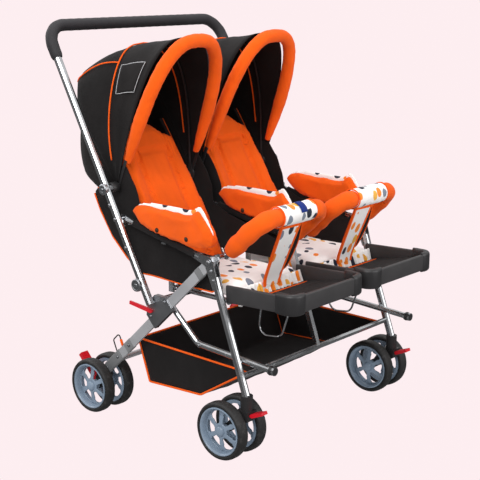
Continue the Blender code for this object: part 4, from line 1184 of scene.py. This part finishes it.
# %% [markdown]
# ## Backs
# Each reclining back is an orange pad with raised side wings, a head roll and two upright channels. It
# is made in the same way as a cushion, in the back's own directions, so that the channels follow its
# slope. A dark flap bound in orange stands out on each side.


# %% Back shape
def back_place(across, along, out, middle_x):
    """From the back's own directions to the pram's: along the back, and out from its face."""
    y, z = step(BACK_PIVOT, BACK_ANGLE, along, out)
    return Vector((middle_x + across, y, z))


BACK_HALF = (CUSHION_OUTER - CUSHION_INNER - 0.006) / 2 - 0.003
FLAP_WIDTH, FLAP_LENGTH, FLAP_LOW = 0.013, 0.295, 0.150


def back_pad_mesh(middle_x):
    work = bmesh.new()
    bmesh.ops.create_cube(work, size=2.0)
    bmesh.ops.subdivide_edges(work, edges=work.edges, cuts=9, use_grid_fill=True)
    for vert in work.verts:
        u, v, w = vert.co
        share = (v + 1) / 2
        width = BACK_HALF * (1 - BACK_TAPER * share * share) * (1 - 0.03 * (1 - v * v))
        corner = 1 - 0.16 * max(0.0, v) ** 6 * u * u
        along = 0.008 + (BACK_LENGTH - 0.016) * share * corner
        bolster = 0.019 * max(0.0, abs(u) - 0.52) / 0.48 if w > 0 else 0.0
        bolster *= min(1.0, share * 3.0) * (1 - 0.6 * share)
        head = 0.010 * math.exp(-((share - 0.86) / 0.09) ** 2) if w > 0 else 0.0
        rim = 1 - 0.35 * max(abs(u), abs(v)) ** 8
        out = -BACK_THICK / 2 + w * (BACK_THICK / 2 - 0.003) * rim + bolster + head * (1 - u * u)
        vert.co = back_place(u * width, along, out, middle_x)
    return as_mesh(work)

# %% [markdown]
# The channels, the gathers beside the head roll and the creases are all depths measured from the back's
# middle and from its foot. Each point sinks along its own normal by the sum of them.

# %% Two backs and their flaps
for side_name, side in SIDES:
    middle_x = side * (CUSHION_INNER + CUSHION_OUTER) / 2
    pad = stuffed(back_pad_mesh(middle_x), 0.006)
    axis = Vector((0.0, *direction(BACK_ANGLE)))
    face = Vector((0.0, *direction(BACK_ANGLE + 90)))
    origin = Vector((middle_x, *BACK_PIVOT))

    def back_depth(place, normal):
        if normal.dot(face) < 0.2:
            return 0.0
        along = (place - origin).dot(axis)
        away = abs(place.x - middle_x)
        lines = groove(away - 0.062 + 0.02 * along, 0.0085, 0.0105) if along < 0.345 else 0.0
        lines += groove(along - 0.348, 0.008, 0.0085) if away < 0.062 else 0.0
        if along > 0.300 and away > 0.050:
            fade = min(1.0, (along - 0.300) / 0.03) * min(1.0, (away - 0.050) / 0.008)
            lines += 0.0030 * fade * (1 + math.sin(away * 560 + 9 * along))
        creases = noise.noise(Vector((place.x * 20, along * 11, 5.0 * side)))
        creases += 0.5 * noise.noise(Vector((place.x * 46, along * 30, 2.0 * side)))
        return lines - 0.0034 * creases

    press(pad, back_depth)
    back = pad_piece(f"back_pad_{side_name}", pad, orange_cloth, f"back_{side_name}")
    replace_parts(back, f"back_cushion_{side_name}")
    for label, outward in (("inner", -side), ("outer", side)):
        flap_line, flap_edge = [], []
        for along in np.linspace(FLAP_LOW, FLAP_LOW + FLAP_LENGTH, 22):
            reach = BACK_HALF * (1 - BACK_TAPER * (along / BACK_LENGTH) ** 2)
            flap_line.append(back_place(outward * (reach + FLAP_WIDTH / 2 - 0.003), along, -0.022, middle_x))
            flap_edge.append(back_place(outward * (reach + FLAP_WIDTH - 0.003), along, -0.022, middle_x))
        work = bmesh.new()
        loft(work, flap_line, flat_section(FLAP_WIDTH, 0.0024), (1, 0, 0))
        flap = finish_piece(f"back_flap_{label}_{side_name}", work, black_cloth, f"back_{side_name}",
                            50.0)
        edge = cord_piece(f"back_flap_piping_{label}_{side_name}", flap_edge, 0.0018, piping_cloth,
                          f"back_{side_name}")
    print("back", side_name, len(back.data.vertices), "points")

# %% [markdown]
# ## Armrest pads
# Each armrest is wrapped in a leaf-shaped orange pad with snap buttons. The leaf is one smooth outline
# in the side view, extruded and swelled. A thinner leaf of printed cloth, a little higher, shows as the
# lining along the top.

# %% Arm pads
PAD_LEAF = [(0.097, 0.578), (0.080, 0.595), (0.034, 0.603), (-0.040, 0.605), (-0.103, 0.603), (-0.137, 0.615),
            (-0.152, 0.604), (-0.168, 0.582), (-0.186, 0.547), (-0.181, 0.525), (-0.150, 0.5145),
            (-0.100, 0.514), (-0.045, 0.518), (0.012, 0.528), (0.062, 0.546)]
ARM_TUBE_CASING = 0.0094
ARM_PADS = (("left", LEG_X - 0.002, 0.034), ("right", -LEG_X + 0.002, 0.034), ("centre", 0.009, 0.022))
leaf_path = smooth_path([(0, *point) for point in PAD_LEAF + PAD_LEAF[:1]], 3)[:-1]
outline = [(point.y, point.z) for point in leaf_path]
for name, x, thick in ARM_PADS:
    work = bmesh.new()
    extruded(work, outline, x - thick / 2 + 0.004, x + thick / 2 - 0.004)
    pad = stuffed(as_mesh(work), 0.0075, 5.0)
    wrinkled(pad, 0.030, 0.0024, x * 9)
    piece = pad_piece(f"arm_cushion_{name}", pad, orange_cloth, "seat_unit")
    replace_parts(piece, f"arm_pad_{name}")
    work = bmesh.new()
    extruded(work, [(y * 0.985 - 0.001, z + 0.0075) for y, z in outline], x - 0.003, x + 0.003)
    lining = stuffed(as_mesh(work), 0.002)
    pad_piece(f"arm_lining_{name}", lining, print_side, "seat_unit")
    tube_x = x if name == "centre" else math.copysign(LEG_X, x)
    casing = evenly([Vector((tube_x, *step(HUB, ARM_ANGLE, along))) for along in (0.052, 0.275)], 0.010)
    work = bmesh.new()
    loft(work, casing, circle(lambda t: ARM_TUBE_CASING + 0.0005 * math.sin(t * 90), 16))
    finish_piece(f"arm_casing_{name}", work, black_cloth, "seat_unit", 60.0)
    outward = -1 if x < 0.05 else 1
    for number, (y, z) in enumerate(((-0.003, 0.545), (-0.106, 0.537))):
        face = x + outward * (thick / 2 + 0.0030)
        rivet(f"arm_snap_{name}_{number}", (face, y, z), outward, "seat_unit", 0.0042, 0.0022, snap_black)
print("arm pads:", len(ARM_PADS), "with", len(outline), "points to an outline")

# %% [markdown]
# ## Bumper bars and crotch straps
# A padded bar crosses each seat, with a printed sleeve over its middle. Both are swept along one path,
# the sleeve a little fatter, because two pieces that share a path can't drift apart. A flat strap is
# swept too, with a section that narrows downwards, and is bound in orange. A dark web hangs behind it.


# %% Bumper bars and straps
def bumper_path(side, spacing=0.006):
    inner, outer = side * BUMPER_INNER_X, side * BUMPER_OUTER_X
    return evenly(rounded([(inner, *BUMPER_FOOT), (inner, BUMPER_Y, BUMPER_Z), (outer, BUMPER_Y, BUMPER_Z),
                           (outer, *BUMPER_FOOT)], 0.050, 10), spacing)


SLEEVE_SHARES = (0.360, 0.640)
SLEEVE_PROUD = 0.0022
STRAP_WIDE, STRAP_NARROWING, STRAP_MEAN = 0.074, 0.018, 0.065
BINDING = (0.0085, 0.0056)     # the strap's orange binding, wide and thick
WEB_WIDTH = 0.020
for side_name, side in SIDES:
    path = bumper_path(side)
    count = len(path) - 1

    def bar_radius(t):
        end = min(t, 1 - t)
        near_sleeve = min(abs(t - SLEEVE_SHARES[0]), abs(t - SLEEVE_SHARES[1]))
        tuck = 0.0020 * math.exp(-near_sleeve / 0.012)
        taper = 0.70 + 0.30 * math.sqrt(min(1.0, end / 0.05))
        return BUMPER_RADIUS * taper + 0.0010 * math.sin(t * 63) - tuck

    work = bmesh.new()
    loft(work, path, circle(bar_radius, 20))
    bar = finish_piece(f"bumper_pad_{side_name}", work, orange_cloth, "seat_unit", None)
    wrinkled(bar.data, 0.022, 0.0018, 2.0 * side)
    subdivided(bar)
    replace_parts(bar, f"bumper_bar_{side_name}")
    first, last = (round(share * count) for share in SLEEVE_SHARES)
    sleeve_path = path[first:last + 1]

    def sleeve_radius(t):
        gather = 0.0011 * math.exp(-min(t, 1 - t) / 0.07) * math.sin(t * 230)
        return BUMPER_RADIUS + SLEEVE_PROUD + gather

    work = bmesh.new()
    loft(work, sleeve_path, circle(sleeve_radius, 24))
    sleeve = finish_piece(f"bumper_sleeve_{side_name}", work, print_wrap, "seat_unit", 60.0)
    wrinkled(sleeve.data, 0.018, 0.0012, side)
    subdivided(sleeve)
    for number, place in enumerate((first, last)):
        ahead = (path[place + 1] - path[place - 1]).normalized()
        across = ahead.orthogonal().normalized()
        up = ahead.cross(across)
        around = BUMPER_RADIUS + SLEEVE_PROUD
        loop = [path[place] + (across * math.cos(angle) + up * math.sin(angle)) * around
                for angle in (2 * math.pi * k / 32 for k in range(32))]
        cord_piece(f"bumper_piping_{side_name}_{number}", loop, 0.0017, piping_cloth, "seat_unit",
                   8, True)
    middle_x = side * (BUMPER_INNER_X + BUMPER_OUTER_X) / 2
    strap_line = smooth_path([(middle_x, BUMPER_Y + 0.008, BUMPER_Z - BUMPER_RADIUS - 0.0042),
                              (middle_x, -0.279, 0.535), (middle_x, -0.256, 0.480),
                              (middle_x, -0.2365, 0.430), (middle_x, -0.2330, 0.408)], 8)

    def strap_width(t):
        return STRAP_WIDE - STRAP_NARROWING * t

    work = bmesh.new()
    loft(work, strap_line, flat_section(strap_width, 0.0036), (1, 0, 0))
    strap = finish_piece(f"crotch_web_{side_name}", work, print_front, "seat_unit", 50.0)
    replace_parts(strap, f"crotch_strap_{side_name}")
    for edge in (-1, 1):
        line = [point + Vector((edge * (strap_width(k / (len(strap_line) - 1)) / 2 - 0.001), 0, 0))
                for k, point in enumerate(strap_line)]
        work = bmesh.new()
        loft(work, line, flat_section(*BINDING), (1, 0, 0))
        label = "a" if edge < 0 else "b"
        finish_piece(f"crotch_binding_{side_name}_{label}", work, piping_cloth, "seat_unit",
                                     50.0)
    half = strap_width(0.0) / 2
    top = strap_line[0] + Vector((0, 0.0005, -0.004))
    work = bmesh.new()
    loft(work, [top - Vector((half, 0, 0)), top + Vector((half, 0, 0))], flat_section(*BINDING), (0, 0, 1))
    finish_piece(f"crotch_binding_{side_name}_top", work, piping_cloth, "seat_unit",
                                 50.0)
    length = sum((b - a).length for a, b in zip(strap_line, strap_line[1:]))
    print("strap", side_name, round(length, 3), "metres long")
    web_line = smooth_path([(middle_x + 0.050, BUMPER_Y + 0.020, BUMPER_Z - BUMPER_RADIUS + 0.001),
                            (middle_x + 0.050, -0.270, 0.520), (middle_x + 0.047, -0.240, 0.455),
                            (middle_x + 0.045, -0.222, 0.4335)], 6)
    work = bmesh.new()
    loft(work, web_line, flat_section(WEB_WIDTH, 0.0022), (1, 0, 0))
    web = finish_piece(f"harness_web_{side_name}", work, black_cloth, "seat_unit", 50.0)
    for number, across in enumerate((-0.0105, 0.0105)):
        edge_line = [point + Vector((across, 0, 0)) for point in web_line]
        cord_piece(f"harness_edge_{side_name}_{number}", edge_line, 0.0024, piping_cloth,
                                "seat_unit")
    length = sum((b - a).length for a, b in zip(web_line, web_line[1:]))

# %% [markdown]
# A small dark blue label is wrapped round the right sleeve, and left bare. It is a short stretch of a
# tube a little wider than the sleeve.

# %% Label
LABEL_LOW_X, LABEL_HIGH_X = -0.157, -0.134
LABEL_ANGLES = (92.0, 168.0)   # from +Y towards +Z, round the bar
work = bmesh.new()
grid = []
for a in np.linspace(*LABEL_ANGLES, 9):
    y, z = step((BUMPER_Y, BUMPER_Z), a, BUMPER_RADIUS + 0.0046)
    grid.append([work.verts.new((x, y, z)) for x in np.linspace(LABEL_LOW_X, LABEL_HIGH_X, 5)])
fill_rows(work, grid)
label_area = sheet_area(work)
label = finish_piece("bumper_label", work, label_blue, "seat_unit", None)
solid(label, 0.0008)
print("label", round(label_area, 6), "square metres")

# %% [markdown]
# ## Side cloths
# Dark cloth fills the sides of each seat, from the armrests down to the seat frame and up into the
# hood. It is held at its edges, so it is a grid between a top line and a bottom line, with a ripple.
# The outer cloths lean in where they enter the hood, to pass inside, and are bound in orange below.

# %% Cloth as a grid
TUCK_HEIGHTS = (0.585, 0.612)  # where a side cloth leans in to pass inside the hood


def cloth_sheet(name, outline, x, bulge, material, body, cells=26, seed=0.0, tuck=0.0):
    """A sheet in the side view, filled as a fine grid between its outline's top and bottom edges."""
    top, bottom = outline
    work = bmesh.new()
    top_line = evenly([Vector((0, *point)) for point in top], 0.004)
    bottom_line = evenly([Vector((0, *point)) for point in bottom], 0.004)
    rows = []
    for level in range(cells + 1):
        share = level / cells
        row = []
        for k in range(cells * 2 + 1):
            part = k / (cells * 2)
            a = top_line[round(part * (len(top_line) - 1))]
            b = bottom_line[round(part * (len(bottom_line) - 1))]
            place = a.lerp(b, share)
            belly = bulge * math.sin(math.pi * share) * math.sin(math.pi * part)
            ripple = 0.0016 * noise.noise(Vector((place.y * 26 + seed, place.z * 26, 0.0)))
            lean = tuck * float(np.interp(place.z, TUCK_HEIGHTS, (0.0, 1.0)))
            row.append(work.verts.new((x + belly + ripple + lean, place.y, place.z)))
        rows.append(row)
    fill_rows(work, rows)
    area = sheet_area(work)
    piece = finish_piece(name, work, material, body, None)
    solid(piece, 0.0012)
    return piece, area, bottom_line

# %% [markdown]
# The outlines follow the frame: forward of the back they end on the armrest above and on the seat frame
# below, and behind the back they rise into the hood.

# %% Outer and inner cloths
SIDE_TOP = [(-0.184, 0.486), (-0.105, 0.500), (0.040, 0.532), (0.096, 0.556), (0.101, 0.600), (0.118, 0.640),
            (0.150, 0.684), (0.190, 0.690), (0.236, 0.650), (0.272, 0.606)]
SIDE_BOTTOM = [(-0.172, 0.412), (-0.158, 0.404), (-0.050, 0.405), (0.052, 0.409), (0.094, 0.408),
               (0.148, 0.441), (0.203, 0.490), (0.249, 0.555), (0.272, 0.600)]
INNER_TOP = [(-0.135, 0.485), (-0.060, 0.505), (0.040, 0.532), (0.096, 0.556), (0.101, 0.600), (0.118, 0.640),
             (0.150, 0.684), (0.190, 0.690), (0.236, 0.650), (0.262, 0.606)]
INNER_BOTTOM = [(-0.130, 0.432), (-0.050, 0.432), (0.052, 0.432), (0.094, 0.432), (0.148, 0.455),
                (0.203, 0.500), (0.249, 0.565), (0.262, 0.600)]
SIDE_X = 0.2962
for side_name, side in SIDES:
    x = side * SIDE_X
    panel, area, edge = cloth_sheet(f"side_cloth_{side_name}", (SIDE_TOP, SIDE_BOTTOM), x, side * 0.002,
                                    black_cloth, "seat_unit", seed=side, tuck=-side * 0.0050)
    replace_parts(panel, f"side_panel_{side_name}")
    edge_line = [Vector((x, point.y, point.z)) for point in edge]
    binding = cord_piece(f"side_piping_{side_name}", edge_line, 0.0023, piping_cloth, "seat_unit")
    x = 0.0225 if side > 0 else -0.0150
    inner, area, edge = cloth_sheet(f"inner_cloth_{side_name}", (INNER_TOP, INNER_BOTTOM), x, 0.0,
                                    black_cloth, "seat_unit", seed=3 * side)
    print("inner cloth", side_name, round(area, 4), "square metres")

# %% [markdown]
# ## Basket
# The basket is black cloth hung from the frame. It is built as one sheet, a floor that sags between its
# corners with two sides drawn up to the rim, and is bound in orange. When the frame folds there is no
# room left for it, and the real cloth flattens towards its rim; this sheet keeps its shape.

# %% Basket outline
BASKET_HALF = 0.2815
BASKET_PROFILE = [(0.126, 0.219), (0.086, 0.104), (-0.103, 0.114), (-0.2634, 0.2136)]


def basket_line(parts):
    """Points down the back, along the floor and up the front of the basket."""
    path = []
    for (y0, z0), (y1, z1) in zip(BASKET_PROFILE, BASKET_PROFILE[1:]):
        for k in range(parts):
            t = k / parts
            path.append((y0 + (y1 - y0) * t, z0 + (z1 - z0) * t))
    path.append(BASKET_PROFILE[-1])
    return path

# %% [markdown]
# The floor is a grid that sags most in its middle. Each side grows from the floor's edge, point by point,
# up to a straight rim, so that the sheet has no gap at its seam.

# %% Basket cloth
work = bmesh.new()
line = basket_line(12)
across_count = 44
rows = []
for index, (y, z) in enumerate(line):
    share = index / (len(line) - 1)
    row = []
    for k in range(across_count + 1):
        u = 2 * k / across_count - 1
        belly = (1 - u * u) * math.sin(math.pi * share)
        ripple = 0.0022 * noise.noise(Vector((u * 7, share * 9, 0.0)))
        row.append(work.verts.new((u * BASKET_HALF, y, z - 0.010 * belly + ripple)))
    rows.append(row)
fill_rows(work, rows)
for column in (0, -1):
    edge = [row[column] for row in rows]
    levels = 8
    count = len(edge) - 1
    rear, front = edge[0].co.copy(), edge[-1].co.copy()
    previous = edge
    for level in range(1, levels + 1):
        share = level / levels
        line_up = []
        for k, vert in enumerate(edge):
            rim_place = rear.lerp(front, k / count)
            place = vert.co.lerp(rim_place, share)
            bulge = math.copysign(0.0015 * math.sin(math.pi * share), vert.co.x)
            place.x += bulge * math.sin(math.pi * k / count)
            line_up.append(work.verts.new(place) if 0 < k < count else vert)
        for k in range(count):
            corners = [previous[k], previous[k + 1], line_up[k + 1], line_up[k]]
            unique = [corner for number, corner in enumerate(corners) if corner not in corners[:number]]
            work.faces.new(unique)
        previous = line_up
basket_area = sheet_area(work)
basket = finish_piece("basket_cloth", work, black_cloth, "seat_unit", None)
solid(basket, 0.0014)
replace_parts(basket, "basket")
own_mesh(basket)

# %% [markdown]
# Orange piping is sewn along the basket's rim and down its seams.

# %% Basket piping
for side_name, side in SIDES:
    x = side * (BASKET_HALF + 0.001)
    seam = evenly([Vector((x, *point)) for point in BASKET_PROFILE], 0.006)
    seam = cord_piece(f"basket_seam_{side_name}", seam, 0.0028, piping_cloth, "seat_unit")
    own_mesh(seam)
    rim_line = evenly([Vector((x, *BASKET_PROFILE[0])), Vector((x, *BASKET_PROFILE[-1]))], 0.006)
    cord_piece(f"basket_rim_{side_name}", rim_line, 0.0028, piping_cloth, "seat_unit")
for name, place in (("rear", BASKET_PROFILE[0]), ("front", BASKET_PROFILE[-1])):
    line = [Vector((x, *place)) for x in np.linspace(-BASKET_HALF, BASKET_HALF, 60)]
    cord_piece(f"basket_edge_{name}", line, 0.0026, piping_cloth, "seat_unit")
print("basket", round(basket_area, 3), "square metres of cloth")

# %% [markdown]
# ## Footrests
# Each footrest is a broad moulded bar, bent to a U, with heavier corner caps and a wire loop below. A bar
# is a section on a path. Dark cloth is stretched over the U, so it is a grid with a slight sag.

# %% Footrest sections
FOOTREST_OUTER = 0.2955
FOOTREST_INNER = 0.0206
REST_REAR, REST_FRONT = (-0.236, 0.391), (-0.4105, 0.428)   # the calf cloth's two ends, (y, z)
REST_CELLS = 24
WIRE_X = 0.150
WIRE_LOOP = [(-0.200, 0.374), (-0.184, 0.262), (-0.262, 0.272), (-0.300, 0.380)]


def rounded_bar(height, thick, corner=0.35):
    """A tall rounded rectangle section."""
    def section(t):
        points = []
        r = thick * corner
        for cx, cy, start in ((thick / 2 - r, height / 2 - r, 0), (-thick / 2 + r, height / 2 - r, 90),
                              (-thick / 2 + r, -height / 2 + r, 180), (thick / 2 - r, -height / 2 + r, 270)):
            for k in range(4):
                angle = math.radians(start + 30 * k)
                points.append((cy + r * math.sin(angle), cx + r * math.cos(angle)))
        return points
    return section

# %% [markdown]
# Bar, caps, cloth and wire all ride on the footrest, so that they drop together when it is let down.

# %% Two footrests
for side_name, side in SIDES:
    body = f"footrest_{side_name}"
    z = FOOTREST_Z
    front_y = FOOTREST_FRONT_Y - 0.006
    corners = [(side * FOOTREST_INNER, SEAT_FRONT_Y - 0.004, z - 0.008), (side * FOOTREST_INNER, front_y, z),
               (side * FOOTREST_OUTER, front_y, z), (side * FOOTREST_OUTER, SEAT_FRONT_Y - 0.004, z - 0.008)]
    path = evenly(rounded(corners, 0.022, 8), 0.008)
    work = bmesh.new()
    loft(work, path, rounded_bar(0.044, 0.0105), (0, 0, 1))
    bar = finish_piece(f"footrest_bar_{side_name}", work, footrest_plastic, body, 50.0)
    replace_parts(bar, f"footrest_{side_name}")
    for label, x in (("inner", side * FOOTREST_INNER), ("outer", side * FOOTREST_OUTER)):
        inward = side if label == "inner" else -side
        cap_line = [(x, front_y + 0.052, z), (x, front_y, z), (x + inward * 0.040, front_y, z)]
        cap_path = evenly(rounded(cap_line, 0.022, 8), 0.005)

        def cap_section(t):
            swell = 0.55 + 0.45 * math.sqrt(min(1.0, min(t, 1 - t) / 0.12))
            return [(a * (0.94 + 0.06 * swell), b * swell) for a, b in rounded_bar(0.0540, 0.0190, 0.45)(t)]

        work = bmesh.new()
        loft(work, cap_path, cap_section, (0, 0, 1))
        finish_piece(f"footrest_cap_{side_name}_{label}", work, dark_plastic, body, 50.0)
    rest_low, rest_high = sorted((side * (FOOTREST_INNER + 0.006), side * (FOOTREST_OUTER - 0.006)))
    work = bmesh.new()
    bmesh.ops.create_grid(work, x_segments=REST_CELLS, y_segments=REST_CELLS, size=1.0)
    for vert in work.verts:
        u, v = vert.co.x, vert.co.y
        sag = 0.007 * (1 - u * u) * (1 - v * v)
        ripple = 0.0014 * noise.noise(Vector((u * 5, v * 4, 3.0 * side)))
        y = REST_REAR[0] + (REST_FRONT[0] - REST_REAR[0]) * (v + 1) / 2
        z = REST_REAR[1] + (REST_FRONT[1] - REST_REAR[1]) * (v + 1) / 2
        vert.co = (rest_low + (rest_high - rest_low) * (u + 1) / 2, y, z - sag + ripple)
    area = sheet_area(work)
    rest = finish_piece(f"calf_cloth_{side_name}", work, black_cloth, body, None)
    solid(rest, 0.0016)
    piping = [Vector((x, REST_REAR[0] - 0.016, REST_REAR[1] + 0.0032))
              for x in np.linspace(rest_low + 0.006, rest_high - 0.006, 30)]
    binding = cord_piece(f"calf_piping_{side_name}", piping, 0.0018, piping_cloth, body)
    loop = evenly(rounded([(side * WIRE_X, *place) for place in WIRE_LOOP], 0.026, 8), 0.006)
    cord_piece(f"footrest_wire_{side_name}", loop, 0.0026, chrome, body, 10)
    print("calf cloth", side_name, round(area, 4), "square metres")

# %% [markdown]
# ## Frame fittings
# The small parts that tell the eye that a frame is real: grey sleeves and a wire bail on the rear legs,
# rivets, and black caps on the ends of the links. What sits on a leg is placed by its distance along it.


# %% Leg sleeve
def leg_sleeve(name, side, along, length, proud=0.0022, material=grey_sleeve):
    """A short sleeve round the rear leg bar."""
    work = bmesh.new()
    start = step(HUB, REAR_LEG_ANGLE, along)
    end = step(HUB, REAR_LEG_ANGLE, along + length)
    section = rounded_bar(0.026 + 2 * proud, 0.008 + 2 * proud, 0.30)
    path = [Vector((side * LEG_X, *start)).lerp(Vector((side * LEG_X, *end)), k / 6) for k in range(7)]
    loft(work, path, section, (0, *direction(REAR_LEG_ANGLE + 90)))
    return finish_piece(name, work, material, "rear_frame", 50.0)

# %% [markdown]
# A wire bail with an orange mark stands out from the lower part of each rear leg, and three sleeves grip
# the leg. The sleeves are a rounded rectangle swept along the leg, a little larger than the bar.

# %% Fittings on both sides
LEG_FACE, RUNNER_FACE = LEG_X + 0.0058, LEG_X + 0.0068
LINK_END = (-0.350, 0.2431)
BAIL_ALONG = (0.436, 0.468)    # where the wire loop leaves and rejoins the rear leg
for side_name, side in SIDES:
    high, low = (step(HUB, REAR_LEG_ANGLE, along, 0.012) for along in BAIL_ALONG)
    tip_high, tip_low = (step(HUB, REAR_LEG_ANGLE, along - 0.012, 0.046) for along in BAIL_ALONG)
    corners = [(side * LEG_X, *place) for place in (high, tip_high, tip_low, low)]
    loop = evenly(rounded(corners, 0.006, 5), 0.003)
    cord_piece(f"leg_bail_{side_name}", loop, 0.0018, dark_plastic, "rear_frame")
    mark = [Vector(corners[0]).lerp(Vector(corners[1]), share) for share in (0.05, 0.30, 0.55)]
    cord_piece(f"leg_bail_mark_{side_name}", mark, 0.0036, piping_cloth, "rear_frame")
    leg_sleeve(f"leg_sleeve_top_{side_name}", side, 0.040, 0.020, 0.0018)
    leg_sleeve(f"leg_sleeve_low_{side_name}", side, 0.395, 0.030, 0.0016)
    leg_sleeve(f"leg_sleeve_foot_{side_name}", side, 0.455, 0.075, 0.0020)
    for number, along in enumerate((0.408, 0.470, 0.530)):
        place = step(HUB, REAR_LEG_ANGLE, along)
        rivet(f"leg_rivet_{side_name}_{number}", (side * LEG_FACE, *place), side, "rear_frame",
              0.0034, 0.002)
    for number, (along, off) in enumerate(((0.205, 0.012), (0.275, 0.012), (0.240, 0.033))):
        place = step(HUB, REAR_LEG_ANGLE, along, off)
        rivet(f"runner_rivet_{side_name}_{number}", (side * RUNNER_FACE, *place), side, "runners",
              0.0032, 0.002)
    work = bmesh.new()
    path = [Vector((side * LINK_X, LINK_END[0] - along, LINK_END[1])) for along in (0.0, 0.006, 0.0145)]
    loft(work, path, circle(lambda t: 0.0122 - 0.0030 * t * t, 20))
    finish_piece(f"link_cap_{side_name}", work, dark_plastic, "links", 50.0)
